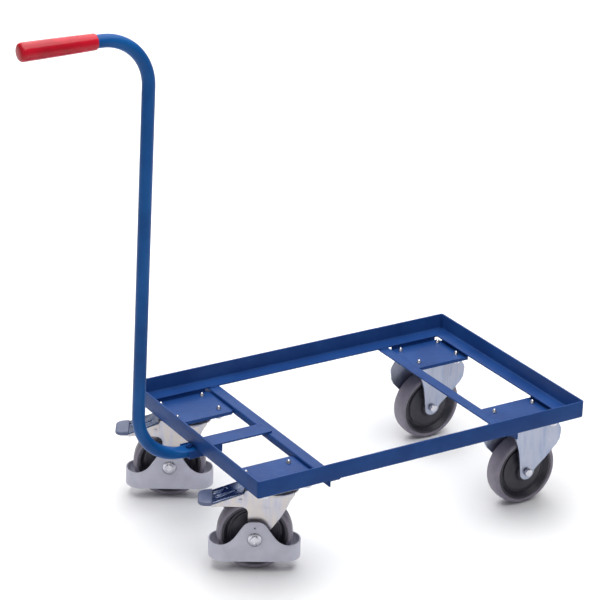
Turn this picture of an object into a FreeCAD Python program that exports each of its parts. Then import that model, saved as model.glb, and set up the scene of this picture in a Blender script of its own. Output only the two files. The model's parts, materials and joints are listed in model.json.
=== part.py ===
"""Push dolly for 600 x 400 mm boxes: an angle-steel frame on four castors with a bent tube handle.

Frame: X runs along the dolly (the handle is at -X), Y across it, Z up, and the floor is Z = 0.
The origin is under the middle of the whole object.  Sizes are millimetres and degrees.
"""
import FreeCAD, Part
import math
import os
import re
import Sketcher

# Driving dimensions: name, value, what it is.
SIZES = [
    ("frame_length", 640, "outside length of the angle frame"),
    ("frame_width", 432, "outside width of the angle frame"),
    ("rim_top", 200, "height of the frame's rim above the floor"),
    ("leg", 30, "both legs of the angle steel"),
    ("steel", 3, "thickness of the angle steel and the folded parts"),
    ("handle_reach", 617, "from the frame's middle to the end of the grip"),
    ("member_outer", 186, "from the frame's middle to a cross member's outer face"),
    ("member_width", 21, "width of a cross member's top flange"),
    ("member_drop", 12, "height of a cross member's lip"),
    ("member_length", 426, "length of a cross member"),
    ("bar_width", 35, "width of the centre bar and the handle socket"),
    ("bar_overlap", 8, "how far the centre bar lies on the cross member"),
    ("plate_thick", 6, "thickness of a corner plate"),
    ("plate_inner_y", 97, "from the middle to a corner plate's inner edge"),
    ("plate_outer_x", 298, "from the middle to a corner plate's end"),
    ("plate_outer_y", 190, "from the middle to a corner plate's outer edge"),
    ("plate_cut", 12, "chamfer on a corner plate's outer corner"),
    ("plate_round", 7, "radius of a corner plate's other outer corner"),
    ("castor_x", 245, "from the middle to a castor's centre, along"),
    ("castor_y", 147, "from the middle to a castor's centre, across"),
    ("castor_height", 158, "overall height of a castor"),
    ("bolt_along", 80, "castor bolt spacing along"),
    ("bolt_across", 60, "castor bolt spacing across"),
    ("bolt_dia", 8, "castor bolt"),
    ("bolt_show", 6, "how far a castor bolt stands above its corner plate"),
    ("hex_wide", 13, "across the flats of an M8 head or nut"),
    ("hex_thick", 5.3, "thickness of an M8 head"),
    ("washer_dia", 16, "outside of a washer"),
    ("washer_thick", 1.6, "thickness of a washer"),
    ("top_length", 105, "castor top plate, along"),
    ("top_width", 85, "castor top plate, across"),
    ("top_thick", 3.5, "castor top plate, thickness"),
    ("top_round", 14, "castor top plate, corner radius"),
    ("slot_dia", 9, "holes in the castor top plate"),
    ("wheel_dia", 125, "wheel over the tread"),
    ("wheel_wide", 32, "width of the tread"),
    ("tread_deep", 9, "thickness of the tread"),
    ("tread_round", 6, "rounding of the tread's shoulders"),
    ("web_thick", 12, "thickness of the wheel's disc"),
    ("ring_dia", 60, "middle of the stiffening ring on the wheel's disc"),
    ("ring_proud", 4, "how far that ring stands out"),
    ("hub_dia", 34, "outside of the wheel's hub"),
    ("hub_wide", 36.4, "length of the wheel's hub"),
    ("sleeve_dia", 15, "outside of the axle sleeve"),
    ("running_gap", 0.05, "radial clearance of a turning fit"),
    ("fork_inside", 37, "clear width between a fork's cheeks"),
    ("cheek_thick", 3, "thickness of a fork's cheek"),
    ("foot_round", 14.5, "radius of a cheek round the axle"),
    ("trail", 34, "from the kingpin to the swivel wheel's axle"),
    ("swivel_turn", -30, "how far a swivel castor is turned where it stands"),
    ("crown_dia", 76, "swivel fork's crown"),
    ("crown_top", 147, "top of the swivel fork's crown"),
    ("crown_thick", 4, "thickness of the crown"),
    ("crown_gap", 0.3, "clearance above and below the crown"),
    ("race_outer", 72, "outside of the upper ball race"),
    ("race_inner", 46, "inside of the upper ball race"),
    ("ball_ring", 58, "middle of the ring of balls"),
    ("ball_dia", 3.5, "one ball"),
    ("ball_count", 20, "balls in one swivel"),
    ("kingpin_dia", 12, "kingpin shank"),
    ("kingpin_head", 22, "kingpin head"),
    ("kingpin_head_thick", 6.7, "thickness of the kingpin's head"),
    ("guard_length", 151, "foot guard, along"),
    ("guard_width", 58, "foot guard, across"),
    ("guard_wall", 2.6, "foot guard's wall"),
    ("guard_bottom", 20.5, "height of the foot guard's lower edge"),
    ("guard_top", 93, "height of the foot guard's peak"),
    ("guard_trough", 50, "height of the foot guard's edge beside the peak and round its ends"),
    ("guard_bend", 27, "radius of the foot guard's ends, seen from above"),
    ("slope_foot", 42.3, "from the axle to the foot of the peak's slope"),
    ("slope_top", 13.7, "from the axle to the top of the peak's slope"),
    ("slope_sweep", 34, "radius where the slope meets the level edge"),
    ("peak_round", 18, "radius of the peak"),
    ("guard_boss", 22, "bosses inside the foot guard, at the axle"),
    ("pedal_width", 52, "brake pedal, across"),
    ("pedal_thick", 2.5, "brake pedal's sheet"),
    ("pedal_start", 52, "from the kingpin back to the pedal's inner edge"),
    ("pedal_end", 104, "from the kingpin back to where the pedal's tip begins"),
    ("pedal_high", 145, "height of the pedal's inner edge"),
    ("pedal_low", 124.5, "height of the pedal where its tip begins"),
    ("pedal_reach", 127, "from the kingpin back to the end of the pedal's tip"),
    ("tip_width", 50, "pedal tip, across"),
    ("tip_above", 2.5, "how far the pedal's tip stands above the sheet"),
    ("tip_below", 6, "from there down to the tip's underside"),
    ("tip_bend", 12, "radius of the tip's corners, seen from above"),
    ("shoe_start", 66, "from the kingpin back to the brake shoe's inner edge"),
    ("shoe_end", 88, "from the kingpin back to the brake shoe's outer edge"),
    ("arm_low", 116.5, "height of the fork's arms under the pedal"),
    ("arm_end", 96, "from the kingpin back to the end of the fork's arms"),
    ("pivot_back", 58, "from the kingpin back to the pedal's pivot"),
    ("pivot_height", 131, "height of the pedal's pivot"),
    ("pivot_dia", 6, "pedal pivot pin"),
    ("tube_dia", 21.3, "handle tube"),
    ("tube_wall", 2, "handle tube's wall"),
    ("bend_radius", 80, "handle tube's bends, to the middle of the tube"),
    ("handle_lean", 1.94, "lean of the upright towards the load"),
    ("upright_foot", 419.4, "from the frame's middle to the foot of the upright"),
    ("foot_height", 164.3, "height of the handle tube's middle at its fixed end"),
    ("grip_height", 884, "height of the grip's middle"),
    ("flat_thick", 11, "pressed end of the handle tube, thickness"),
    ("flat_width", 28, "pressed end of the handle tube, width"),
    ("socket_start", 334, "from the frame's middle to the socket's mouth"),
    ("socket_end", 273, "from the frame's middle to the socket's inner end"),
    ("flat_end", 279, "from the frame's middle to the pressed tube's end"),
    ("handle_bolt_dia", 6, "handle bolts"),
    ("handle_bolt_play", 0.2, "radial play of a handle bolt in its holes"),
    ("handle_bolt_outer", 326.4, "from the frame's middle to the outer handle bolt"),
    ("handle_bolt_inner", 300, "from the frame's middle to the inner handle bolt"),
    ("small_hex_wide", 10, "across the flats of an M6 head or nut"),
    ("small_hex_thick", 4, "thickness of an M6 head or nut"),
    ("grip_length", 128, "handle grip"),
    ("grip_end_dia", 30, "grip at its free end"),
    ("grip_inner_dia", 26, "grip at its inner end"),
    ("grip_cap", 4, "grip's closed end"),
    ("grip_round", 6, "rounding of the grip's ends"),
]
NAMES = {name for name, _, _ in SIZES}

# The origin is under the middle of the object's box, which reaches from the grip to the front
# rail, and from the near rail to the far brake pedal.
FRAME_MIDDLE_X = "(handle_reach - frame_length / 2) / 2"
PEDAL_SIDE = ("(castor_y + (pedal_reach - tip_bend) * sin(-swivel_turn)"
              " + (tip_width / 2 - tip_bend) * cos(swivel_turn) + tip_bend)")
FRAME_MIDDLE_Y = f"(frame_width / 2 - {PEDAL_SIDE}) / 2"

SOCKET_BOTTOM = "(foot_height - flat_thick / 2 - steel)"
UNDER_TOP_PLATE = "(castor_height - top_thick)"

doc = FreeCAD.newDocument("BoxDolly")
sheet = doc.addObject("Spreadsheet::Sheet", "Dims")
for row, (name, value, note) in enumerate(SIZES, start=1):
    sheet.set(f"A{row}", note)
    sheet.set(f"B{row}", str(value))
    sheet.setAlias(f"B{row}", name)
doc.recompute()

finished = []


# ---------------------------------------------------------------- helpers

def size(name):
    """The number in the sheet's cell of that name."""
    return float(sheet.get(name))


def from_sheet(text):
    """Write an expression's names the way the document finds them."""

    def full_name(match):
        word = match.group(0)
        return "Dims." + word if word in NAMES else word

    return re.sub(r"[a-z][a-z_]*", full_name, text)


def bind(thing, path, text):
    thing.setExpression(path, from_sheet(str(text)))


def keep(thing, name):
    """Mark a finished sub-part, whose label names its file."""
    thing.Label = name
    finished.append(thing)
    return thing


def place(thing, x="0", y="0", z="0", turn="0"):
    """Put a sub-part where it belongs: frame-centred x, y, z and a turn about Z."""
    bind(thing, "Placement.Base.x", f"{FRAME_MIDDLE_X} + ({x})")
    bind(thing, "Placement.Base.y", f"{FRAME_MIDDLE_Y} + ({y})")
    bind(thing, "Placement.Base.z", z)
    bind(thing, "Placement.Rotation.Angle", turn)


def new_body(name):
    return doc.addObject("PartDesign::Body", name)


def new_sketch(body, role, lift):
    """An empty sketch on one of the body's own planes, moved along the plane's normal."""
    sketch = body.newObject("Sketcher::SketchObject", "sketch")
    plane = next(item for item in body.Origin.OriginFeatures if item.Role == role)
    sketch.AttachmentSupport = [(plane, "")]
    sketch.MapMode = "FlatFace"
    bind(sketch, "AttachmentOffset.Base.z", lift)
    return sketch


def add_outline(sketch, corners):
    """Draw a closed outline whose corners are tied to the sheet; returns the first line's number."""
    first = sketch.GeometryCount
    count = len(corners)
    guess = []
    for index in range(count):
        angle = 2 * math.pi * index / count
        guess.append(FreeCAD.Vector(50 * math.cos(angle), 50 * math.sin(angle), 0))
    for index in range(count):
        sketch.addGeometry(Part.LineSegment(guess[index], guess[(index + 1) % count]), False)
    for index in range(count):
        following = first + (index + 1) % count
        sketch.addConstraint(Sketcher.Constraint("Coincident", first + index, 2, following, 1))
    for index, corner in enumerate(corners):
        for axis, kind in enumerate(("DistanceX", "DistanceY")):
            start = guess[index][axis]
            number = sketch.addConstraint(Sketcher.Constraint(kind, -1, 1, first + index, 1, start))
            bind(sketch, f"Constraints[{number}]", corner[axis])
    return first


def add_circle(sketch, x, y, radius):
    number = sketch.addGeometry(Part.Circle(FreeCAD.Vector(5, 5, 0), FreeCAD.Vector(0, 0, 1), 3), False)
    for kind, text in (("DistanceX", x), ("DistanceY", y)):
        tie = sketch.addConstraint(Sketcher.Constraint(kind, -1, 1, number, 3, 5))
        bind(sketch, f"Constraints[{tie}]", text)
    tie = sketch.addConstraint(Sketcher.Constraint("Radius", number, 3))
    bind(sketch, f"Constraints[{tie}]", radius)
    return number


def outline(body, role, corners, lift="0"):
    sketch = new_sketch(body, role, lift)
    add_outline(sketch, corners)
    return sketch


def circles(body, role, rounds, lift="0"):
    sketch = new_sketch(body, role, lift)
    for x, y, radius in rounds:
        add_circle(sketch, x, y, radius)
    return sketch


def box_corners(x_low, x_high, y_low, y_high):
    return [(x_low, y_low), (x_high, y_low), (x_high, y_high), (x_low, y_high)]


def pad(body, sketch, length, centred=False):
    feature = body.newObject("PartDesign::Pad", "pad")
    feature.Profile = sketch
    bind(feature, "Length", length)
    feature.Midplane = centred
    return feature


def pocket(body, sketch, length=None):
    """Cut both ways from the sketch: through everything, or a length centred on it."""
    feature = body.newObject("PartDesign::Pocket", "pocket")
    feature.Profile = sketch
    feature.Midplane = True
    if length is None:
        feature.Type = 1
    else:
        bind(feature, "Length", length)
    return feature


def revolve(body, sketch, axis):
    feature = body.newObject("PartDesign::Revolution", "turned")
    feature.Profile = sketch
    feature.ReferenceAxis = (sketch, [axis])
    feature.Angle = 360
    return feature


def combine(body, kind, tool):
    """Cut another body from this one, or keep only what both share."""
    feature = body.newObject("PartDesign::Boolean", kind.lower())
    feature.Type = kind
    feature.setObjects([tool])


def round_edges(body, radius, wanted):
    """Fillet every edge of the body so far for which wanted(edge) is true."""
    doc.recompute()
    base = body.Tip
    names = [f"Edge{index}" for index, edge in enumerate(base.Shape.Edges, start=1) if wanted(edge)]
    fillet = body.newObject("PartDesign::Fillet", "rounded")
    fillet.Base = (base, names)
    bind(fillet, "Radius", radius)


def round_corners(body, sketch, radii):
    """Round a padded outline's corners: radii maps a corner's number to its radius."""
    doc.recompute()
    normal = sketch.Placement.Rotation.multVec(FreeCAD.Vector(0, 0, 1))

    def rises_from(corner, edge):
        if not isinstance(edge.Curve, Part.Line) or abs(edge.Curve.Direction.dot(normal)) < 0.999:
            return False
        start = sketch.Placement.multVec(sketch.Geometry[corner].StartPoint)
        return (edge.Vertexes[0].Point - start).cross(normal).Length < 0.001

    for radius in sorted(set(radii.values())):
        corners = [number for number, value in radii.items() if value == radius]
        round_edges(body, radius, lambda edge: any(rises_from(corner, edge) for corner in corners))


def round_rims(body, radius, smallest, largest=1000):
    """Round the circular edges whose own radius is between the limits."""
    round_edges(body, radius, lambda edge: isinstance(edge.Curve, Part.Circle)
                and smallest < edge.Curve.Radius < largest)


def plain_box(name, x_low, x_high, y_low, y_high, z_low, z_high):
    """A rectangular body between the given limits."""
    body = new_body(name)
    sketch = outline(body, "XY_Plane", box_corners(x_low, x_high, y_low, y_high), z_low)
    pad(body, sketch, f"({z_high}) - ({z_low})")
    return body


def hexagon(width):
    """Corners of a hexagon about the origin, by its size across the flats."""
    radius = f"({width}) / sqrt(3)"
    return [(f"{radius} * cos({60 * i})", f"{radius} * sin({60 * i})") for i in range(6)]


def group(name, parts):
    """Several separate solids that share one node."""
    holder = doc.addObject("Part::Compound", name)
    holder.Links = parts
    return keep(holder, name)


# ---------------------------------------------------------------- frame

def make_rail(name, length, offset_x, offset_y, turn):
    """Angle rail, mitred at both ends: rim on its outer side, ledge turned inwards."""
    body = new_body(name)
    section = [
        ("0", "rim_top - leg"),
        ("leg", "rim_top - leg"),
        ("leg", "rim_top - leg + steel"),
        ("steel", "rim_top - leg + steel"),
        ("steel", "rim_top"),
        ("0", "rim_top"),
    ]
    pad(body, outline(body, "YZ_Plane", section), length, centred=True)
    for side in ("1", "-1"):
        tip = f"{side} * {length} / 2"
        mitre = [(tip, "0"), (tip, "leg + 1"), (f"{side} * ({length} / 2 - leg - 1)", "leg + 1")]
        pocket(body, outline(body, "XY_Plane", mitre))
    place(body, offset_x, offset_y, "0", turn)
    return keep(body, name)


make_rail("rail_near", "frame_length", "0", "-frame_width / 2", "0")
make_rail("rail_far", "frame_length", "0", "frame_width / 2", "180")
make_rail("rail_handle_end", "frame_width", "-frame_length / 2", "0", "-90")
make_rail("rail_front_end", "frame_width", "frame_length / 2", "0", "90")


def make_cross_member(name, turn):
    """Folded angle under the ledges, its short lip on the outer side."""
    body = new_body(name)
    section = [
        ("-member_outer", "rim_top - leg - member_drop"),
        ("-member_outer + steel", "rim_top - leg - member_drop"),
        ("-member_outer + steel", "rim_top - leg - steel"),
        ("-member_outer + member_width", "rim_top - leg - steel"),
        ("-member_outer + member_width", "rim_top - leg"),
        ("-member_outer", "rim_top - leg"),
    ]
    sketch = outline(body, "XZ_Plane", section)
    pad(body, sketch, "member_length", centred=True)
    round_corners(body, sketch, {5: "3"})
    place(body, turn=turn)
    return keep(body, name)


make_cross_member("cross_member_rear", "0")
make_cross_member("cross_member_front", "180")

bar = plain_box(
    "centre_bar",
    "-frame_length / 2 + leg", "-member_outer + bar_overlap",
    "-bar_width / 2", "bar_width / 2",
    "rim_top - leg", "rim_top - leg + steel",
)
place(bar)
keep(bar, "centre_bar")


def make_corner_plate(name, end, side):
    """Plate that carries one castor, welded to a cross member and, through two strips, to the ledges."""
    body = new_body(name)
    inner, outer = "member_outer", "plate_outer_x"
    near, far = "plate_inner_y", "plate_outer_y"
    corners = [
        (f"{end} * {inner}", f"{side} * {near}"),
        (f"{end} * {outer}", f"{side} * {near}"),
        (f"{end} * {outer}", f"{side} * ({far} - plate_cut)"),
        (f"{end} * ({outer} - plate_cut)", f"{side} * {far}"),
        (f"{end} * {inner}", f"{side} * {far}"),
    ]
    sketch = outline(body, "XY_Plane", corners, "castor_height")
    pad(body, sketch, "plate_thick")
    round_corners(body, sketch, {0: "plate_round", 4: "plate_round"})
    strips = new_sketch(body, "XY_Plane", "castor_height + plate_thick - 1")
    add_outline(strips, box_corners(
        f"{end} * ({inner} + plate_round)", f"{end} * ({outer} - plate_cut)",
        f"{side} * ({far} - steel)", f"{side} * {far}"))
    add_outline(strips, box_corners(
        f"{end} * ({outer} - steel)", f"{end} * {outer}",
        f"{side} * {near}", f"{side} * ({far} - plate_cut)"))
    pad(body, strips, "rim_top - leg - castor_height - plate_thick + 1")
    holes = []
    for along in ("-1", "1"):
        for across in ("-1", "1"):
            holes.append((
                f"{end} * castor_x + {along} * bolt_along / 2",
                f"{side} * castor_y + {across} * bolt_across / 2",
                "bolt_dia / 2 + running_gap"))
    pocket(body, circles(body, "XY_Plane", holes))
    place(body)
    return keep(body, name)


CORNERS = [
    ("rear_near", "-1", "-1"),
    ("rear_far", "-1", "1"),
    ("front_near", "1", "-1"),
    ("front_far", "1", "1"),
]
for corner_name, end, side in CORNERS:
    make_corner_plate(f"corner_plate_{corner_name}", end, side)


# ---------------------------------------------------------------- handle

HANDLE_BOLT_HOLES = [
    ("-handle_bolt_outer", "0", "handle_bolt_dia / 2 + handle_bolt_play"),
    ("-handle_bolt_inner", "0", "handle_bolt_dia / 2 + handle_bolt_play"),
]
FLAT_TOP = "(foot_height + flat_thick / 2)"


def make_socket():
    """Folded channel under the ledge that takes the pressed end of the handle tube."""
    body = new_body("handle_socket")
    low = SOCKET_BOTTOM
    inner = "bar_width / 2 - steel"
    section = [
        ("-bar_width / 2", low),
        ("bar_width / 2", low),
        ("bar_width / 2", "rim_top - leg"),
        (inner, "rim_top - leg"),
        (inner, f"{low} + steel"),
        (f"-({inner})", f"{low} + steel"),
        (f"-({inner})", "rim_top - leg"),
        ("-bar_width / 2", "rim_top - leg"),
    ]
    sketch = outline(body, "YZ_Plane", section, "-socket_start")
    pad(body, sketch, "socket_start - socket_end")
    round_corners(body, sketch, {0: "3", 1: "3"})
    pocket(body, circles(body, "XY_Plane", HANDLE_BOLT_HOLES))
    place(body)
    keep(body, "handle_socket")


make_socket()


def make_handle_tube():
    """Round tube with two bends; its lower end is pressed flat for the socket."""
    body = new_body("handle_tube")
    route = body.newObject("Sketcher::SketchObject", "route")
    plane = next(item for item in body.Origin.OriginFeatures if item.Role == "XZ_Plane")
    route.AttachmentSupport = [(plane, "")]
    route.MapMode = "FlatFace"
    radius, foot, top = size("bend_radius"), size("foot_height"), size("grip_height")
    lean = math.radians(size("handle_lean"))
    turn = math.pi / 2 + lean
    upright = -size("upright_foot")
    low_centre = FreeCAD.Vector(upright + radius * math.cos(lean), foot + radius, 0)
    high_x = upright + (top - foot - 2 * radius) * math.tan(lean) - radius * math.cos(lean)
    high_centre = FreeCAD.Vector(high_x, top - radius, 0)
    vector = FreeCAD.Vector

    def on_arc(centre, angle):
        return centre + vector(radius * math.cos(angle), radius * math.sin(angle), 0)

    low_start = on_arc(low_centre, -math.pi / 2)
    low_end = on_arc(low_centre, -math.pi / 2 - turn)
    high_start = on_arc(high_centre, math.pi / 2 - turn)
    high_end = on_arc(high_centre, math.pi / 2)
    start = vector(-size("socket_start"), foot, 0)
    end = vector(-size("handle_reach") + size("grip_cap") + 1, top, 0)
    axis = vector(0, 0, 1)
    route.addGeometry(Part.LineSegment(start, low_start), False)
    low_circle = Part.Circle(low_centre, axis, radius)
    route.addGeometry(Part.ArcOfCircle(low_circle, -math.pi / 2 - turn, -math.pi / 2), False)
    route.addGeometry(Part.LineSegment(low_end, high_start), False)
    high_circle = Part.Circle(high_centre, axis, radius)
    route.addGeometry(Part.ArcOfCircle(high_circle, math.pi / 2 - turn, math.pi / 2), False)
    route.addGeometry(Part.LineSegment(high_end, end), False)
    joins = [(0, 2, 1, 2), (1, 1, 2, 1), (2, 2, 3, 1), (3, 2, 4, 1)]
    for line, line_end, other, other_end in joins:
        route.addConstraint(Sketcher.Constraint("Tangent", line, line_end, other, other_end))
    route.addConstraint(Sketcher.Constraint("Horizontal", 0))
    route.addConstraint(Sketcher.Constraint("Horizontal", 4))
    route.addConstraint(Sketcher.Constraint("Equal", 1, 3))
    ties = [
        (Sketcher.Constraint("Radius", 1, radius), "bend_radius"),
        (Sketcher.Constraint("DistanceX", -1, 1, 0, 1, start.x), "-socket_start"),
        (Sketcher.Constraint("DistanceY", -1, 1, 0, 1, start.y), "foot_height"),
        (Sketcher.Constraint("DistanceX", -1, 1, 4, 2, end.x), "-handle_reach + grip_cap + 1"),
        (Sketcher.Constraint("DistanceY", -1, 1, 4, 2, end.y), "grip_height"),
        (Sketcher.Constraint("DistanceX", -1, 1, 2, 1, low_end.x), "-upright_foot"),
        (Sketcher.Constraint("Angle", -1, 1, 2, 1, math.pi / 2 - lean), "90 - handle_lean"),
    ]
    for constraint, text in ties:
        number = route.addConstraint(constraint)
        bind(route, f"Constraints[{number}]", text)
    section = circles(body, "YZ_Plane", [
        ("0", "foot_height", "tube_dia / 2"),
        ("0", "foot_height", "tube_dia / 2 - tube_wall"),
    ], "-socket_start")
    pipe = body.newObject("PartDesign::AdditivePipe", "bent_tube")
    pipe.Profile = section
    pipe.Spine = (route, [f"Edge{index}" for index in range(1, 6)])
    doc.recompute()
    flat = [
        ("-flat_width / 2", "foot_height - flat_thick / 2"),
        ("flat_width / 2", "foot_height - flat_thick / 2"),
        ("flat_width / 2", "foot_height + flat_thick / 2"),
        ("-flat_width / 2", "foot_height + flat_thick / 2"),
    ]
    press = outline(body, "YZ_Plane", flat, "-socket_start")
    pad(body, press, "socket_start - flat_end")
    pocket(body, circles(body, "XY_Plane", HANDLE_BOLT_HOLES), "2 * (foot_height + flat_thick)")
    place(body)
    keep(body, "handle_tube")


make_handle_tube()


def make_grip():
    """Moulded grip, a little thicker at its closed free end."""
    body = new_body("handle_grip")
    section = [
        ("-handle_reach", "0"),
        ("-handle_reach", "grip_end_dia / 2"),
        ("-handle_reach + grip_length", "grip_inner_dia / 2"),
        ("-handle_reach + grip_length", "tube_dia / 2"),
        ("-handle_reach + grip_cap", "tube_dia / 2"),
        ("-handle_reach + grip_cap", "0"),
    ]
    sketch = outline(body, "XZ_Plane", section)
    revolve(body, sketch, "H_Axis")
    round_rims(body, "grip_round", size("grip_end_dia") / 2 - 0.1)
    round_rims(body, "grip_round / 3", size("grip_inner_dia") / 2 - 0.1, size("grip_inner_dia") / 2 + 0.1)
    place(body, z="grip_height")
    keep(body, "handle_grip")


make_grip()


def make_handle_bolt(spot, tip):
    """Hex bolt from below the socket, up to the given height."""
    bolt = new_body("handle_bolt")
    head = outline(bolt, "XY_Plane", hexagon("small_hex_wide"), f"{SOCKET_BOTTOM} - small_hex_thick")
    pad(bolt, head, "small_hex_thick")
    shank = circles(bolt, "XY_Plane", [("0", "0", "handle_bolt_dia / 2")], SOCKET_BOTTOM)
    pad(bolt, shank, f"{tip} - {SOCKET_BOTTOM}")
    place(bolt, f"-{spot}")
    return bolt


group("handle_bolts", [
    make_handle_bolt("handle_bolt_outer", f"{FLAT_TOP} + small_hex_thick + 2"),
    make_handle_bolt("handle_bolt_inner", "(rim_top - leg)"),
])

nut = new_body("handle_nut")
pad(nut, outline(nut, "XY_Plane", hexagon("small_hex_wide"), FLAT_TOP), "small_hex_thick")
pocket(nut, circles(nut, "XY_Plane", [("0", "0", "handle_bolt_dia / 2 + running_gap")]))
place(nut, "-handle_bolt_outer")
keep(nut, "handle_nut")


# ---------------------------------------------------------------- castor fasteners

castor_bolts = []
castor_washers = []
for corner_name, end, side in CORNERS:
    for along in ("-1", "1"):
        for across in ("-1", "1"):
            spot_x = f"{end} * castor_x + {along} * bolt_along / 2"
            spot_y = f"{side} * castor_y + {across} * bolt_across / 2"
            bolt = new_body("castor_bolt")
            head_top = f"{UNDER_TOP_PLATE} - washer_thick"
            head = outline(bolt, "XY_Plane", hexagon("hex_wide"), f"{head_top} - hex_thick")
            pad(bolt, head, "hex_thick")
            shank = circles(bolt, "XY_Plane", [("0", "0", "bolt_dia / 2")], head_top)
            pad(bolt, shank, "washer_thick + top_thick + plate_thick + bolt_show")
            place(bolt, spot_x, spot_y)
            castor_bolts.append(bolt)
            washer = new_body("castor_washer")
            ring = circles(washer, "XY_Plane", [
                ("0", "0", "washer_dia / 2"),
                ("0", "0", "slot_dia / 2 - 0.3"),
            ], f"{UNDER_TOP_PLATE} - washer_thick")
            pad(washer, ring, "washer_thick")
            place(washer, spot_x, spot_y)
            castor_washers.append(washer)
group("castor_bolts", castor_bolts)
group("castor_washers", castor_washers)


# ---------------------------------------------------------------- wheels

def settle(body, name, end, side, turn):
    """Place a castor's piece: its own origin is on the floor under the castor's centre."""
    place(body, f"{end} * castor_x", f"{side} * castor_y", "0", turn)
    return keep(body, name)


def make_wheel(label, axle_x, end, side, turn):
    """Tread, wheel core and axle sleeve, turned about the axle."""
    axle_z = "wheel_dia / 2"
    rim = "wheel_dia / 2 - tread_deep"
    half = "wheel_wide / 2"

    tread = new_body(f"tyre_{label}")
    disc = circles(tread, "XZ_Plane", [(axle_x, axle_z, "wheel_dia / 2"), (axle_x, axle_z, rim)])
    pad(tread, disc, "wheel_wide", centred=True)
    round_rims(tread, "tread_round", size("wheel_dia") / 2 - 1)
    settle(tread, f"tyre_{label}", end, side, turn)

    core = new_body(f"wheel_core_{label}")
    pad(core, circles(core, "XZ_Plane", [(axle_x, axle_z, rim)]), "web_thick", centred=True)
    lip = [(axle_x, axle_z, rim), (axle_x, axle_z, f"{rim} - 4")]
    pad(core, circles(core, "XZ_Plane", lip), "wheel_wide - 2", centred=True)
    ring = [(axle_x, axle_z, "ring_dia / 2 + 2"), (axle_x, axle_z, "ring_dia / 2 - 2")]
    pad(core, circles(core, "XZ_Plane", ring), "web_thick + 2 * ring_proud", centred=True)
    pad(core, circles(core, "XZ_Plane", [(axle_x, axle_z, "hub_dia / 2")]), "hub_wide", centred=True)
    pocket(core, circles(core, "XZ_Plane", [(axle_x, axle_z, "sleeve_dia / 2 + running_gap")]))
    settle(core, f"wheel_core_{label}", end, side, turn)

    sleeve = new_body(f"axle_sleeve_{label}")
    tube = [(axle_x, axle_z, "sleeve_dia / 2"), (axle_x, axle_z, "bolt_dia / 2 + running_gap")]
    pad(sleeve, circles(sleeve, "XZ_Plane", tube), "fork_inside", centred=True)
    settle(sleeve, f"axle_sleeve_{label}", end, side, turn)


def make_axle(label, axle_x, grip, end, side, turn):
    """Axle bolt with its head on the near side, and the nut on the other."""
    axle_z = "wheel_dia / 2"
    bolt = new_body(f"axle_bolt_{label}")
    shank = circles(bolt, "XZ_Plane", [(axle_x, axle_z, "bolt_dia / 2")], f"-({grip}) - hex_thick - 4")
    pad(bolt, shank, f"2 * ({grip}) + hex_thick + 4")
    head = new_sketch(bolt, "XZ_Plane", f"{grip}")
    add_outline(head, [(f"{x} + ({axle_x})", f"{y} + {axle_z}") for x, y in hexagon("hex_wide")])
    pad(bolt, head, "hex_thick")
    settle(bolt, f"axle_bolt_{label}", end, side, turn)
    nut = new_body(f"axle_nut_{label}")
    face = new_sketch(nut, "XZ_Plane", f"-({grip}) - hex_thick - 1.5")
    add_outline(face, [(f"{x} + ({axle_x})", f"{y} + {axle_z}") for x, y in hexagon("hex_wide")])
    add_circle(face, axle_x, axle_z, "bolt_dia / 2 + running_gap")
    pad(nut, face, "hex_thick + 1.5")
    settle(nut, f"axle_nut_{label}", end, side, turn)


def add_top_plate(body):
    """The castor's top plate with its four bolt holes, as a first or further feature."""
    sides = box_corners("-top_length / 2", "top_length / 2", "-top_width / 2", "top_width / 2")
    sketch = outline(body, "XY_Plane", sides, UNDER_TOP_PLATE)
    pad(body, sketch, "top_thick")
    round_corners(body, sketch, {0: "top_round", 1: "top_round", 2: "top_round", 3: "top_round"})
    holes = []
    for along in ("-1", "1"):
        for across in ("-1", "1"):
            holes.append((f"{along} * bolt_along / 2", f"{across} * bolt_across / 2", "slot_dia / 2"))
    pocket(body, circles(body, "XY_Plane", holes), "2 * castor_height + 20")


def make_fixed_castor(label, end, side):
    """Rigid castor: a pressed fork in one piece with its top plate, and the wheel in it."""
    fork = new_body(f"fork_{label}")
    add_top_plate(fork)
    for hand in ("1", "-1"):
        corners = [
            (f"{hand} * 28", UNDER_TOP_PLATE),
            (f"{hand} * 30", "128"),
            (f"{hand} * 19", "100"),
            (f"{hand} * foot_round", "wheel_dia / 2 + 4"),
            (f"{hand} * foot_round", "wheel_dia / 2 - 1"),
            (f"-{hand} * foot_round", "wheel_dia / 2 - 1"),
            (f"-{hand} * 21", "wheel_dia / 2 + 2"),
            (f"-{hand} * 47", "92"),
            (f"-{hand} * 62", "109"),
            (f"-{hand} * 64", "134"),
            (f"-{hand} * 52", UNDER_TOP_PLATE),
        ]
        middle = f"-{hand} * (fork_inside / 2 + cheek_thick / 2)"
        cheek = outline(fork, "XZ_Plane", [(f"-({x})", z) for x, z in corners], f"-({middle})")
        pad(fork, cheek, "cheek_thick", centred=True)
        foot = circles(fork, "XZ_Plane", [("0", "wheel_dia / 2", "foot_round")], f"-({middle})")
        pad(fork, foot, "cheek_thick", centred=True)
    pocket(fork, circles(fork, "XZ_Plane", [("0", "wheel_dia / 2", "bolt_dia / 2 + running_gap")]))
    settle(fork, f"fork_{label}", end, side, "0")
    make_wheel(label, "0", end, side, "0")
    make_axle(label, "0", "fork_inside / 2 + cheek_thick", end, side, "0")


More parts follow.
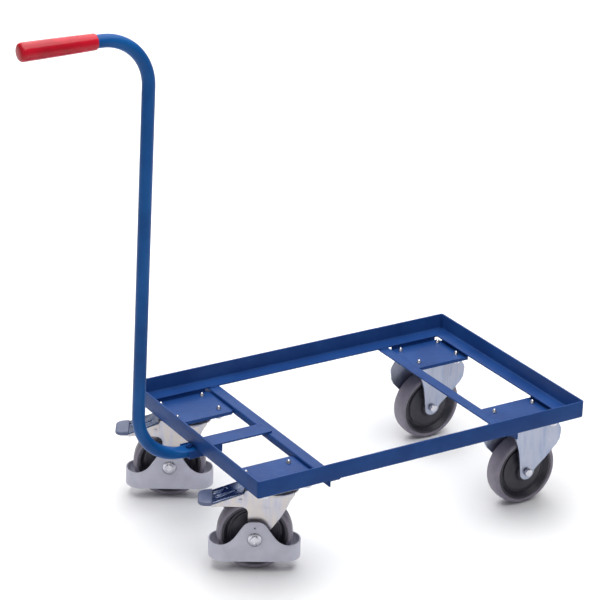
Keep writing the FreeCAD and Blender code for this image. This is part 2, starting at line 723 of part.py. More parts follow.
def make_swivel_fork(label, side):
    fork = new_body(f"fork_{label}")
    crown = circles(fork, "XY_Plane", [("0", "0", "crown_dia / 2")], "crown_top - crown_thick")
    pad(fork, crown, "crown_thick")
    outer = "fork_inside + 2 * cheek_thick"
    corners = [
        ("30", "crown_top - 1"),
        ("19", "118"),
        ("-8", "77"),
        ("-trail + foot_round", "wheel_dia / 2"),
        ("-trail - foot_round", "wheel_dia / 2"),
        ("-46", "90"),
        ("-46", "108"),
        ("-56", "arm_low"),
        ("-arm_end", "arm_low"),
        ("-pivot_back - 4", "pivot_height + 4.5"),
        ("-pedal_start + 2", "pivot_height + 6"),
        ("-pedal_start + 2", "crown_top - 1"),
    ]
    cheeks = outline(fork, "XZ_Plane", corners)
    pad(fork, cheeks, outer, centred=True)
    feet = circles(fork, "XZ_Plane", [("-trail", "wheel_dia / 2", "foot_round")])
    pad(fork, feet, outer, centred=True)
    inside = box_corners("-130", "60", "0", "crown_top - crown_thick")
    pocket(fork, outline(fork, "XZ_Plane", inside), "fork_inside")
    holes = [
        ("-trail", "wheel_dia / 2", "bolt_dia / 2 + running_gap"),
        ("-pivot_back", "pivot_height", "pivot_dia / 2 + running_gap"),
    ]
    pocket(fork, circles(fork, "XZ_Plane", holes))
    pocket(fork, circles(fork, "XY_Plane", [("0", "0", "kingpin_dia / 2 + running_gap")]))
    settle(fork, f"fork_{label}", "-1", side, "swivel_turn")


def make_swivel_head(label, side):
    """Top plate, upper race, balls and kingpin between the plate and the fork's crown."""
    top = new_body(f"top_plate_{label}")
    add_top_plate(top)
    pocket(top, circles(top, "XY_Plane", [("0", "0", "kingpin_dia / 2")]))
    settle(top, f"top_plate_{label}", "-1", side, "0")

    race = new_body(f"upper_race_{label}")
    ring = [("0", "0", "race_outer / 2"), ("0", "0", "race_inner / 2")]
    bottom = "crown_top + crown_gap + ball_dia"
    pad(race, circles(race, "XY_Plane", ring, bottom), f"{UNDER_TOP_PLATE} - ({bottom})")
    settle(race, f"upper_race_{label}", "-1", side, "0")

    balls = []
    for index in range(int(size("ball_count"))):
        ball = doc.addObject("Part::Sphere", "ball")
        bind(ball, "Radius", "ball_dia / 2")
        angle = f"{index} * 360 / ball_count"
        across = f"{side} * castor_y + ball_ring / 2 * sin({angle})"
        along = f"-castor_x + ball_ring / 2 * cos({angle})"
        place(ball, along, across, "crown_top + crown_gap + ball_dia / 2")
        balls.append(ball)
    group(f"balls_{label}", balls)

    kingpin = new_body(f"kingpin_{label}")
    bottom = "(crown_top - crown_thick - crown_gap - kingpin_head_thick)"
    pin = circles(kingpin, "XY_Plane", [("0", "0", "kingpin_dia / 2")], bottom)
    pad(kingpin, pin, f"castor_height - {bottom}")
    head = circles(kingpin, "XY_Plane", [("0", "0", "kingpin_head / 2")], bottom)
    pad(kingpin, head, "kingpin_head_thick")
    settle(kingpin, f"kingpin_{label}", "-1", side, "0")


def guard_column(name, grown):
    """Upright block with rounded ends, seen from above: the foot guard's outside or its inside."""
    column = new_body(name)
    half, wide = f"(guard_length / 2 + {grown})", f"(guard_width / 2 + {grown})"
    sides = box_corners(f"-trail - {half}", f"-trail + {half}", f"-{wide}", wide)
    ring = outline(column, "XY_Plane", sides, f"guard_bottom + {grown}")
    pad(column, ring, "guard_top")
    round_corners(column, ring, {corner: f"guard_bend + {grown}" for corner in range(4)})
    return column


def make_guard(label, side):
    """Moulded ring round the wheel, open above and below, with a peak at the axle on each side."""
    half = "(guard_length / 2 + 1)"
    peaked = new_body("guard_outline")
    run = [(half, "guard_bottom"), (half, "guard_trough"), ("slope_foot", "guard_trough"),
           ("slope_top", "guard_top")]
    corners = [(f"-trail + {x}", z) for x, z in run] + [(f"-trail - {x}", z) for x, z in reversed(run)]
    sketch = outline(peaked, "XZ_Plane", corners)
    pad(peaked, sketch, "guard_width + 2", centred=True)
    round_corners(peaked, sketch, {2: "slope_sweep", 3: "peak_round", 4: "peak_round", 5: "slope_sweep"})

    guard = guard_column(f"foot_guard_{label}", "0")
    combine(guard, "Common", peaked)
    combine(guard, "Cut", guard_column("guard_inside", "-guard_wall"))
    boss = "guard_width / 2 - fork_inside / 2 - cheek_thick"
    for face in ("fork_inside / 2 + cheek_thick", "-guard_width / 2"):
        pad(guard, circles(guard, "XZ_Plane", [("-trail", "wheel_dia / 2", "guard_boss / 2")], face), boss)
    holes = [("-trail", "wheel_dia / 2", "bolt_dia / 2 + running_gap")]
    pocket(guard, circles(guard, "XZ_Plane", holes))
    settle(guard, f"foot_guard_{label}", "-1", side, "swivel_turn")


def make_brake(label, side):
    """Pedal hinged on the fork, with a moulded tip and the shoe that meets the tread."""
    fall = "(pedal_high - pedal_low) / (pedal_end - pedal_start)"

    def underside(back):
        return f"pedal_high - pedal_thick - {fall} * ({back} - pedal_start)"

    pedal = new_body(f"brake_pedal_{label}")
    plate = [
        ("-pedal_start", "pedal_high"),
        ("-pedal_end", "pedal_low"),
        ("-pedal_end", "pedal_low - pedal_thick"),
        ("-pedal_start", "pedal_high - pedal_thick"),
    ]
    pad(pedal, outline(pedal, "XZ_Plane", plate), "pedal_width", centred=True)
    skirt = [
        ("-pedal_start", "pedal_high - 1"),
        ("-pedal_start", "pivot_height - 5"),
        ("-pivot_back - 6", "pivot_height - 5"),
        ("-pedal_end", "pedal_low - 7"),
        ("-pedal_end", "pedal_low - 1"),
    ]
    for hand in ("1", "-1"):
        lift = f"{hand} * (pedal_width - pedal_thick) / 2"
        pad(pedal, outline(pedal, "XZ_Plane", skirt, lift), "pedal_thick", centred=True)
    holes = [("-pivot_back", "pivot_height", "pivot_dia / 2 + running_gap")]
    pocket(pedal, circles(pedal, "XZ_Plane", holes))
    settle(pedal, f"brake_pedal_{label}", "-1", side, "swivel_turn")

    tip = new_body(f"pedal_tip_{label}")
    block = outline(tip, "XY_Plane", box_corners(
        "-pedal_reach", "-pedal_end", "-tip_width / 2", "tip_width / 2"), "pedal_low - tip_below")
    pad(tip, block, "tip_below + tip_above")
    round_corners(tip, block, {0: "tip_bend", 3: "tip_bend"})
    falling = [
        ("-pedal_reach - 1", "pedal_low"),
        ("-pedal_end", "pedal_low + tip_above"),
        ("-pedal_end", "pedal_low + tip_above + 1"),
        ("-pedal_reach - 1", "pedal_low + tip_above + 1"),
    ]
    pocket(tip, outline(tip, "XZ_Plane", falling))
    settle(tip, f"pedal_tip_{label}", "-1", side, "swivel_turn")

    pin = new_body(f"pedal_pin_{label}")
    shank = circles(pin, "XZ_Plane", [("-pivot_back", "pivot_height", "pivot_dia / 2")])
    pad(pin, shank, "pedal_width + 3", centred=True)
    settle(pin, f"pedal_pin_{label}", "-1", side, "swivel_turn")

    shoe = new_body(f"brake_shoe_{label}")
    profile = [
        ("-shoe_start", underside("shoe_start")),
        ("-shoe_start", "pivot_height - 5"),
        ("-shoe_start - 8", "pivot_height - 14.5"),
        ("-shoe_end + 6", "pivot_height - 20.3"),
        ("-shoe_end - 2", "pivot_height - 15"),
        ("-shoe_end", underside("shoe_end")),
    ]
    pad(shoe, outline(shoe, "XZ_Plane", profile), "fork_inside - 6", centred=True)
    settle(shoe, f"brake_shoe_{label}", "-1", side, "swivel_turn")


def make_swivel_castor(label, side):
    make_swivel_head(label, side)
    make_swivel_fork(label, side)
    make_wheel(label, "-trail", "-1", side, "swivel_turn")
    make_axle(label, "-trail", "guard_width / 2", "-1", side, "swivel_turn")
    make_guard(label, side)
    make_brake(label, side)


for label, side in (("near", "-1"), ("far", "1")):
    make_fixed_castor(f"fixed_{label}", "1", side)
    make_swivel_castor(f"swivel_{label}", side)


# ---------------------------------------------------------------- check and write

doc.recompute()
problems = []
for thing in doc.Objects:
    if "Invalid" in thing.State or "Error" in thing.State:
        problems.append(f"{thing.Name}: {thing.State}")
for thing in finished:
    if thing.Shape.isNull() or not thing.Shape.isValid():
        problems.append(f"{thing.Label}: shape is null or not valid")
if problems:
    raise SystemExit("\n".join(problems))

os.makedirs("parts", exist_ok=True)
for thing in finished:
    thing.Shape.exportStep(f"parts/{thing.Label}.step")
    print(f"{thing.Label}: {len(thing.Shape.Solids)} solid(s), {thing.Shape.Volume / 1000:.2f} cm3")
print(f"{len(finished)} nodes")
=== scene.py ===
"""Looks of the box dolly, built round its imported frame.

Lengths are metres; a number times MM is millimetres.  X runs along the dolly (the handle is at -X),
Y across it, Z up from the floor.
"""

import json
import math

import bmesh
import bpy
from mathutils import Matrix, Vector


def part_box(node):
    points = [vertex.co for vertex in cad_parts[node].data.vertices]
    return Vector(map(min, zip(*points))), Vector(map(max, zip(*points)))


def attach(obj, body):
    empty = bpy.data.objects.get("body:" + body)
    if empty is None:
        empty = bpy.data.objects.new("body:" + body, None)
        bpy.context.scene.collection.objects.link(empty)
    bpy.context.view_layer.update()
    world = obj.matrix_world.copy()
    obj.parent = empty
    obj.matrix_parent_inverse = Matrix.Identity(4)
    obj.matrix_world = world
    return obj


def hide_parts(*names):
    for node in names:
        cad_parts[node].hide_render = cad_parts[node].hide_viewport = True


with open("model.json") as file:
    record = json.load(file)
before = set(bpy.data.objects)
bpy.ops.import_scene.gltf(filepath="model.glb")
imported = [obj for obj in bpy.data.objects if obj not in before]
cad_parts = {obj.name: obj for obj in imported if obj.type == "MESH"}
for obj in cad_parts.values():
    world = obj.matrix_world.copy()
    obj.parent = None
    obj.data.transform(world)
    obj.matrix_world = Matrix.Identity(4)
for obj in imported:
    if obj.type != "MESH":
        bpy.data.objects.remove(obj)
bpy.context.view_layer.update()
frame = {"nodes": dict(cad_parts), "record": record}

MM = 0.001


def limits(*nodes):
    """Lowest and highest corner of several CAD nodes together."""
    boxes = [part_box(node) for node in nodes]
    low = Vector(min(box[0][axis] for box in boxes) for axis in range(3))
    high = Vector(max(box[1][axis] for box in boxes) for axis in range(3))
    return low, high


def middle(node):
    low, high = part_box(node)
    return (low + high) / 2


RAILS = ("rail_near", "rail_far", "rail_handle_end", "rail_front_end")
RIM_LOW, RIM_HIGH = limits(*RAILS)
CENTRE = Vector(((RIM_LOW.x + RIM_HIGH.x) / 2, (RIM_LOW.y + RIM_HIGH.y) / 2, 0))
HALF_LENGTH = (RIM_HIGH.x - RIM_LOW.x) / 2
HALF_WIDTH = (RIM_HIGH.y - RIM_LOW.y) / 2
LEG = RIM_HIGH.z - RIM_LOW.z
STEEL = 3 * MM          # thickness of the frame's angle
FORK_SHEET = 3 * MM
FORK_SIDE = 20 * MM     # middle of a cheek's sheet, from the castor's middle
FORK_FOOT = 14.5 * MM   # radius of a cheek's round foot, about the axle
SIDES = ("near", "far")


# ------------------------ materials

def linear(code):
    """An sRGB hex colour as the linear colour that shaders take."""
    values = [int(code[i:i + 2], 16) / 255 for i in (1, 3, 5)]
    return [v / 12.92 if v <= 0.04045 else ((v + 0.055) / 1.055) ** 2.4 for v in values] + [1]


def add(tree, kind, inputs=None, **settings):
    """Add a node, set its properties, and set or link its inputs."""
    node = tree.nodes.new(kind)
    for name, value in settings.items():
        setattr(node, name, value)
    for name, value in (inputs or {}).items():
        if isinstance(value, bpy.types.NodeSocket):
            tree.links.new(value, node.inputs[name])
        else:
            node.inputs[name].default_value = value
    return node


def start_material(name, roughness, metallic=0.0, ior=1.5):
    """A material with its shader and object coordinates, ready for its patterns; a metal keeps its IOR."""
    material = bpy.data.materials.new(name)
    material.use_nodes = True
    tree = material.node_tree
    shader = tree.nodes["Principled BSDF"]
    shader.inputs["Roughness"].default_value = roughness
    shader.inputs["Metallic"].default_value = metallic
    if not metallic:
        shader.inputs["IOR"].default_value = ior
    coordinates = add(tree, "ShaderNodeTexCoord").outputs["Object"]
    return material, tree, shader, coordinates


def noise(tree, coordinates, size, detail=3.0, stretch=None):
    """Noise whose blotches are about `size` metres across."""
    vector = coordinates
    if stretch:
        vector = add(tree, "ShaderNodeMapping", {"Vector": coordinates, "Scale": stretch}).outputs["Vector"]
    return add(tree, "ShaderNodeTexNoise", {
        "Vector": vector, "Scale": 1 / size, "Detail": detail,
    }).outputs["Fac"]


def ramp(tree, factor, stops):
    """Colour ramp from (position, hex colour) pairs."""
    node = add(tree, "ShaderNodeValToRGB", {"Fac": factor})
    elements = node.color_ramp.elements
    while len(elements) < len(stops):
        elements.new(0.5)
    for element, (position, code) in zip(elements, stops):
        element.position = position
        element.color = linear(code)
    return node.outputs["Color"]


def spread(tree, factor, low, high):
    """Turn a pattern into a value between low and high."""
    return add(tree, "ShaderNodeMapRange", {
        "Value": factor, "From Min": 0.3, "From Max": 0.7, "To Min": low, "To Max": high,
    }).outputs["Result"]


def tint(tree, shader, pattern, stops):
    """Colour the shader from a pattern."""
    tree.links.new(ramp(tree, pattern, stops), shader.inputs["Base Color"])


def gloss(tree, shader, pattern, low, high):
    """Let the shader's roughness follow a pattern between low and high."""
    tree.links.new(spread(tree, pattern, low, high), shader.inputs["Roughness"])


def clear_coat(shader, specular, coat, coat_roughness):
    shader.inputs["Specular IOR Level"].default_value = specular
    shader.inputs["Coat Weight"].default_value = coat
    shader.inputs["Coat Roughness"].default_value = coat_roughness


def bump(tree, shader, height, depth, strength):
    node = add(tree, "ShaderNodeBump", {"Height": height, "Strength": strength, "Distance": depth})
    tree.links.new(node.outputs["Normal"], shader.inputs["Normal"])


def powder_coat(name, dark, main, light, specular=0.18, coat=0.03):
    """Polyester powder coat: sprayed and baked, so it pools a little and has a fine orange peel."""
    material, tree, shader, coordinates = start_material(name, 0.34)
    tint(tree, shader, noise(tree, coordinates, 60 * MM, 4.0), [(0.3, dark), (0.5, main), (0.72, light)])
    peel = noise(tree, coordinates, 1.8 * MM, 2.0)
    gloss(tree, shader, noise(tree, coordinates, 9 * MM), 0.28, 0.4)
    bump(tree, shader, peel, 0.05 * MM, 0.35)
    clear_coat(shader, specular, coat, 0.15)
    return material


def zinc_plate(name, roughness, tints):
    """Bright zinc with a thin passivation film, which tints the reflections in soft upright streaks."""
    material, tree, shader, coordinates = start_material(name, roughness, 1.0)
    tint(tree, shader, noise(tree, coordinates, 11 * MM, 2.0, (1, 1, 0.16)), tints)
    grain = noise(tree, coordinates, 1.2 * MM, 3.0, (1, 1, 0.12))
    gloss(tree, shader, grain, roughness - 0.05, roughness + 0.08)
    bump(tree, shader, grain, 0.02 * MM, 0.2)
    return material


def soft_vinyl():
    """Dip-moulded PVC: glossy, with slow waves where it shrank on the former."""
    material, tree, shader, coordinates = start_material("pvc_grip_dip_moulded", 0.2, ior=1.53)
    tone = noise(tree, coordinates, 35 * MM, 2.0)
    tint(tree, shader, tone, [(0.3, "#A8081F"), (0.55, "#BE0B26"), (0.8, "#C8102C")])
    bump(tree, shader, noise(tree, coordinates, 7 * MM, 2.0), 0.2 * MM, 0.3)
    clear_coat(shader, 0.25, 0.12, 0.06)
    return material


def tread_rubber():
    """Grey thermoplastic rubber tread: satin, with a fine moulded grain and faint scuffs."""
    material, tree, shader, coordinates = start_material("tpe_tread_moulded", 0.5)
    tone = noise(tree, coordinates, 18 * MM, 5.0)
    tint(tree, shader, tone, [(0.3, "#75707E"), (0.55, "#807A88"), (0.8, "#8A8492")])
    grain = noise(tree, coordinates, 0.9 * MM, 2.0)
    gloss(tree, shader, tone, 0.42, 0.58)
    bump(tree, shader, grain, 0.05 * MM, 0.3)
    return material


def moulded_plastic(name, dark, main, light, roughness, grain_size):
    """Injection-moulded plastic with an eroded mould grain."""
    material, tree, shader, coordinates = start_material(name, roughness, ior=1.49)
    tint(tree, shader, noise(tree, coordinates, 30 * MM), [(0.3, dark), (0.55, main), (0.8, light)])
    grain = noise(tree, coordinates, grain_size, 2.0)
    gloss(tree, shader, grain, roughness - 0.06, roughness + 0.08)
    bump(tree, shader, grain, 0.08 * MM, 0.4)
    return material


def matt_floor():
    """Seamless paper sweep, almost white."""
    material, tree, shader, coordinates = start_material("paper_sweep", 0.9)
    tint(tree, shader, noise(tree, coordinates, 900 * MM, 2.0), [(0.3, "#F7F7F8"), (0.7, "#FCFCFC")])
    return material


FRAME_PAINT = powder_coat("polyester_powder_coat_frame", "#1B3C76", "#1F427D", "#234885",
                          specular=0.09, coat=0.0)
HANDLE_PAINT = powder_coat("polyester_powder_coat_handle", "#06427F", "#0A4C8C", "#125596")
ZINC_SHEET = zinc_plate("zinc_plated_sheet_blue_passivated", 0.32,
                        [(0.25, "#8A95B0"), (0.42, "#9CA4B8"), (0.58, "#A6AABA"), (0.75, "#939DB6")])
ZINC_FORK = zinc_plate("zinc_plated_sheet_clear_passivated", 0.34,
                       [(0.25, "#ABAFC1"), (0.42, "#BDBCC5"), (0.58, "#C7C1BD"), (0.75, "#BBB8C4")])
# Glossy zinc for the pedal's tread face; its darker, bluer colour is painted dark reflection.
ZINC_PEDAL_PAINTED_DARK = zinc_plate("zinc_plated_pedal_glossy_painted_dark", 0.17,
                        [(0.3, "#56658A"), (0.5, "#73809F"), (0.7, "#8F98AE")])
ZINC_BOLT = zinc_plate("zinc_plated_fastener", 0.24, [(0.3, "#BDBEC8"), (0.7, "#D6D5DC")])
GRIP_VINYL = soft_vinyl()
TREAD = tread_rubber()
CORE = moulded_plastic("polypropylene_wheel_core", "#292832", "#32313C", "#3B3A46", 0.4, 1.4 * MM)
GUARD = moulded_plastic("polypropylene_foot_guard", "#BABAC9", "#C4C4D3", "#CCCCDB", 0.5, 1.6 * MM)
PEDAL_TIP = moulded_plastic("polyamide_pedal_tip", "#4C5674", "#5A6482", "#6B7490", 0.36, 1.4 * MM)
BRAKE_PAD = moulded_plastic("nitrile_brake_pad", "#1D1D20", "#242428", "#2C2C30", 0.6, 1.0 * MM)
MATERIAL_OF_SLOT = {
    "blue_frame_paint": FRAME_PAINT,
    "blue_handle_paint": HANDLE_PAINT,
    "red_grip": GRIP_VINYL,
    "grey_tread": TREAD,
    "dark_wheel_core": CORE,
    "grey_guard": GUARD,
    "pedal_tip_plastic": PEDAL_TIP,
    "brake_rubber": BRAKE_PAD,
    "zinc_sheet": ZINC_SHEET,
    "zinc_fasteners": ZINC_BOLT,
}
RECORD = frame["record"]
SLOT_OF_NODE = {entry["node"]: entry["material_slot"] for entry in RECORD["subparts"]}
BODY_OF_NODE = {node: body for body, nodes in RECORD["behaviour"]["bodies"].items() for node in nodes}


# ------------------------ building pieces

def placed(name, data):
    """A new object in the scene."""
    thing = bpy.data.objects.new(name, data)
    bpy.context.scene.collection.objects.link(thing)
    return thing


def new_piece(name, mesh, node, *more_nodes, finish=None):
    """Put a finished mesh in the scene in place of CAD nodes, with the first node's body and slot."""
    piece = placed(name, mesh)
    slot = SLOT_OF_NODE[node]
    mesh.materials.clear()
    mesh.materials.append(finish or MATERIAL_OF_SLOT[slot])
    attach(piece, BODY_OF_NODE[node])
    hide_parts(node, *more_nodes)
    return piece


def smooth_by_angle(build, degrees):
    """Smooth shading, with an edge left sharp where it is bent by more than this."""
    for face in build.faces:
        face.smooth = True
    for edge in build.edges:
        if len(edge.link_faces) == 2 and edge.calc_face_angle(0) > math.radians(degrees):
            edge.smooth = False


def tidy_mesh(build, smooth_angle=35):
    """Merge doubles, turn the faces outwards, and smooth across all but the sharp edges."""
    bmesh.ops.remove_doubles(build, verts=build.verts, dist=0.01 * MM)
    bmesh.ops.dissolve_degenerate(build, dist=0.005 * MM, edges=build.edges)
    bmesh.ops.recalc_face_normals(build, faces=build.faces)
    smooth_by_angle(build, smooth_angle)


def to_mesh(build, name):
    mesh = bpy.data.meshes.new(name)
    build.to_mesh(mesh)
    build.free()
    return mesh


def bevelled(piece, width, segments=2):
    """Round the piece's sharp edges with a live Bevel."""
    modifier = piece.modifiers.new("edges", "BEVEL")
    modifier.width = width
    modifier.segments = segments
    modifier.limit_method = "ANGLE"
    modifier.angle_limit = math.radians(30)
    modifier.use_clamp_overlap = True
    modifier.harden_normals = True
    return piece


def softened(node, width, finish=None):
    """A CAD node's own shape with its edges rounded, in place of the node."""
    build = bmesh.new()
    build.from_mesh(frame["nodes"][node].data)
    bmesh.ops.remove_doubles(build, verts=build.verts, dist=0.005 * MM)
    bmesh.ops.dissolve_limit(build, angle_limit=math.radians(1), verts=build.verts, edges=build.edges)
    smooth_by_angle(build, 35)
    return bevelled(new_piece(node + "_finished", to_mesh(build, node), node, finish=finish), width)


def in_metres(points):
    """Points given in millimetres."""
    return [tuple(value * MM for value in point) for point in points]


def circle(steps):
    """The angles of points spaced evenly round a circle."""
    return [2 * math.pi * step / steps for step in range(steps)]


def corner_turns(steps):
    """Go round a rectangle's four corners: each corner's signs, and the turn at each step of its arc."""
    for sign_x, sign_y, start in ((1, -1, -90), (1, 1, 0), (-1, 1, 90), (-1, -1, 180)):
        for step in range(steps + 1):
            yield sign_x, sign_y, math.radians(start + 90 * step / steps)


def ring_faces(build, rings, closed_path, closed_ring=True):
    """Join rows of points into faces; each row has the same number of points."""
    rows = [[build.verts.new(point) for point in ring] for ring in rings]
    count = len(rows[0])
    for i in range(len(rows) if closed_path else len(rows) - 1):
        a, b = rows[i], rows[(i + 1) % len(rows)]
        for j in range(count if closed_ring else count - 1):
            build.faces.new([a[j], a[(j + 1) % count], b[(j + 1) % count], b[j]])
    if not closed_path and closed_ring:
        build.faces.new(list(reversed(rows[0])))
        build.faces.new(rows[-1])


def rounded_outline(points, radii, steps=5):
    """Round a 2-D outline's corners with arcs; a radius of zero keeps the corner."""
    result = []
    count = len(points)
    for index in range(count):
        corner = Vector(points[index])
        radius = radii[index] if isinstance(radii, (list, tuple)) else radii
        before = (Vector(points[index - 1]) - corner).normalized()
        after = (Vector(points[(index + 1) % count]) - corner).normalized()
        half = before.angle(after) / 2
        if radius <= 0 or half > math.radians(89):
            result.append(corner)
            continue
        centre = corner + (before + after).normalized() * radius / math.sin(half)
        first = corner + before * radius / math.tan(half) - centre
        last = corner + after * radius / math.tan(half) - centre
        turn = first.angle_signed(last)
        for step in range(steps + 1):
            angle = -turn * step / steps
            result.append(centre + Vector((
                first.x * math.cos(angle) - first.y * math.sin(angle),
                first.x * math.sin(angle) + first.y * math.cos(angle))))
    return result


def castor_place(label):
    """Matrix from a castor's own space to the object; a swivel castor's wheel trails towards its -x."""
    if label.startswith("fixed"):
        spot, turn = middle(f"axle_sleeve_{label}"), 0
    else:
        spot, axle = middle(f"kingpin_{label}"), middle(f"axle_sleeve_{label}")
        turn = math.atan2(spot.y - axle.y, spot.x - axle.x)
    return Matrix.Translation(Vector((spot.x, spot.y, 0))) @ Matrix.Rotation(turn, 4, "Z")


WHEEL_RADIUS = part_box("tyre_fixed_near")[1].z / 2
TRAIL = (middle("kingpin_swivel_near") - middle("axle_sleeve_swivel_near")).to_2d().length


def lathe(profile, place, axle_x, steps=96):
    """Turn a closed (radius, across) profile about the castor's axle."""
    build = bmesh.new()
    ring_faces(build, [[
        place @ Vector((axle_x + radius * math.cos(angle), across, WHEEL_RADIUS + radius * math.sin(angle)))
        for radius, across in profile] for angle in circle(steps)], closed_path=True)
    return build


# ------------------------ frame

def make_welded_frame():
    """The four mitred angles as one welded rim with rounded outer corners."""
    edge, heel, root = 0.7 * MM, 2.2 * MM, 2.5 * MM
    section = rounded_outline(
        [(0, 0), (LEG, 0), (LEG, STEEL), (STEEL, STEEL), (STEEL, LEG), (0, LEG)],
        [heel, edge, edge, root, edge, edge], 3)
    corner_radius = 4.5 * MM
    build = bmesh.new()
    rings = []
    for sign_x, sign_y, angle in corner_turns(6):
        ring = []
        for inset, height in section:
            reach = max(corner_radius - inset, 0)
            offset = max(corner_radius, inset)
            ring.append(CENTRE + Vector((
                sign_x * (HALF_LENGTH - offset) + reach * math.cos(angle),
                sign_y * (HALF_WIDTH - offset) + reach * math.sin(angle),
                RIM_LOW.z + height)))
        rings.append(ring)
    ring_faces(build, rings, closed_path=True)
    tidy_mesh(build)
    new_piece("welded_frame", to_mesh(build, "welded_frame"), *RAILS)


make_welded_frame()
for node in ("cross_member_rear", "cross_member_front", "centre_bar"):
    softened(node, 0.6 * MM)
for end in ("rear", "front"):
    for side in SIDES:
        softened(f"corner_plate_{end}_{side}", 0.8 * MM)
softened("handle_socket", 0.5 * MM)


# ------------------------ handle

def make_handle_tube():
    """Bent tube whose lower end is pressed from round to flat before it enters the socket."""
    radius, bend, lean = 21.3 * MM / 2, 80 * MM, math.radians(1.94)
    flat_wide, flat_high, flat_corner = 14 * MM, 5.5 * MM, 0.32
    press_length = 34 * MM
    bend_steps = 28
    tube_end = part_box("handle_tube")[1].x
    grip_low, grip_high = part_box("handle_grip")
    socket_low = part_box("handle_socket")[0]
    foot_z = socket_low.z + STEEL + flat_high
    top_z = (grip_low.z + grip_high.z) / 2
    y = CENTRE.y
    upright_x = CENTRE.x - 419.4 * MM
    low_centre = Vector((upright_x + bend * math.cos(lean), y, foot_z + bend))
    high_x = upright_x + (top_z - foot_z - 2 * bend) * math.tan(lean) - bend * math.cos(lean)
    high_centre = Vector((high_x, y, top_z - bend))
    quarter = math.pi / 2
    turn = quarter + lean
    route = [(Vector((tube_end, y, foot_z)), 0.0), (Vector((socket_low.x, y, foot_z)), 0.0)]
    for step in range(bend_steps + 1):
        angle = -quarter - turn * step / bend_steps
        route.append((low_centre + bend * Vector((math.cos(angle), 0, math.sin(angle))), angle + quarter))
    for step in range(bend_steps + 1):
        angle = quarter - turn * (1 - step / bend_steps)
        route.append((high_centre + bend * Vector((math.cos(angle), 0, math.sin(angle))), angle - quarter))
    route.append((Vector((grip_low.x + 6 * MM, y, top_z)), 0.0))
    length = 0.0
    rings = []
    for index, (point, tilt) in enumerate(route):
        if index:
            length += (point - route[index - 1][0]).length
        blend = min(max((length - (tube_end - socket_low.x)) / press_length, 0), 1)
        blend = blend * blend * (3 - 2 * blend)
        half_wide = flat_wide + (radius - flat_wide) * blend
        half_high = flat_high + (radius - flat_high) * blend
        power = flat_corner + (1 - flat_corner) * blend
        normal = Vector((-math.sin(tilt), 0, math.cos(tilt)))
        ring = []
        for a in circle(40):
            wide = math.copysign(abs(math.cos(a)) ** power, math.cos(a)) * half_wide
            high = math.copysign(abs(math.sin(a)) ** power, math.sin(a)) * half_high
            ring.append(point + Vector((0, wide, 0)) + normal * high)
        rings.append(ring)
    build = bmesh.new()
    ring_faces(build, rings, closed_path=False)
    tidy_mesh(build, 50)
    new_piece("bent_handle_tube", to_mesh(build, "bent_handle_tube"), "handle_tube")


make_handle_tube()


def make_grip():
    """Grip with a domed end, a slight swell and a thin rolled lip round the tube."""
    low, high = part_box("handle_grip")
    y, z = (low.y + high.y) / 2, (low.z + high.z) / 2
    end_radius = (high.z - low.z) / 2
    length = high.x - low.x
    dome, swell, mouth = 6.5 * MM, 0.25 * MM, 13 * MM
    lip, lip_length = 3 * MM, 3.4 * MM
    profile = [(0.0, 0.0)]
    for step in range(1, 9):
        angle = math.pi / 2 * step / 8
        profile.append((dome * (1 - math.cos(angle)), (end_radius - dome) + dome * math.sin(angle)))
    for step in range(1, 15):
        part = step / 15
        taper = end_radius - (end_radius - mouth) * part
        profile.append((dome + (length - dome - lip) * part, taper + swell * math.sin(math.pi * part)))
    for step in range(7):
        angle = math.pi / 2 * (1 - step / 6)
        profile.append((length - lip_length + lip_length * math.cos(angle),
                        mouth - lip + lip * math.sin(angle)))
    build = bmesh.new()
    ring_faces(build, [[
        Vector((low.x + along, y + r * math.cos(a), z + r * math.sin(a))) for along, r in profile]
        for a in circle(64)], closed_path=True, closed_ring=False)
    tidy_mesh(build, 50)
    edges = [edge for edge in build.edges if len(edge.link_faces) == 1]
    bmesh.ops.holes_fill(build, edges=edges, sides=0)
    bmesh.ops.recalc_face_normals(build, faces=build.faces)
    new_piece("red_grip", to_mesh(build, "red_grip"), "handle_grip")


make_grip()


# ------------------------ wheels

def make_wheel(label):
    """Crowned tread on a moulded core whose disc has a ridge, a dished rim and a hub."""
    place = castor_place(label)
    axle_x = 0 if label.startswith("fixed") else -TRAIL
    r, half, shoulder = WHEEL_RADIUS, 16 * MM, 5.4 * MM
    seat = r - 9 * MM
    tread = [(seat, -half + 1.5 * MM), (seat + 1 * MM, -half + 0.4 * MM), (r - 6.5 * MM, -half)]
    for step in range(7):
        angle = math.pi / 2 * step / 6
        tread.append((r - 6.4 * MM + shoulder * math.sin(angle), -half + shoulder * (1 - math.cos(angle))))
    tread += [(r - 0.3 * MM, -half / 2.4), (r, 0)]
    tread += [(radius, -across) for radius, across in reversed(tread[:-1])]
    build = lathe(tread, place, axle_x, 128)
    tidy_mesh(build, 50)
    new_piece(f"tread_{label}", to_mesh(build, "tread"), f"tyre_{label}")
    core = [(seat, half - 1.6 * MM), (seat - 3.2 * MM, half - 1.6 * MM), (seat - 4.2 * MM, half - 2.6 * MM),
            (seat - 6.5 * MM, 7.5 * MM), (seat - 9 * MM, 5.6 * MM)]
    core += in_metres([(41.5, 6.2), (40.6, 8.6), (39.2, 8.8), (38.4, 7.6), (24, 7.2), (19.5, 8.6),
                       (17.6, 11), (17.2, 17.4), (16.4, 18.1), (7.6, 18.2)])
    core += [(radius, -across) for radius, across in reversed(core)]
    build = lathe(core, place, axle_x)
    tidy_mesh(build, 40)
    new_piece(f"core_{label}", to_mesh(build, "core"), f"wheel_core_{label}")


for side in SIDES:
    make_wheel(f"fixed_{side}")
    make_wheel(f"swivel_{side}")


# ------------------------ castor sheet metal

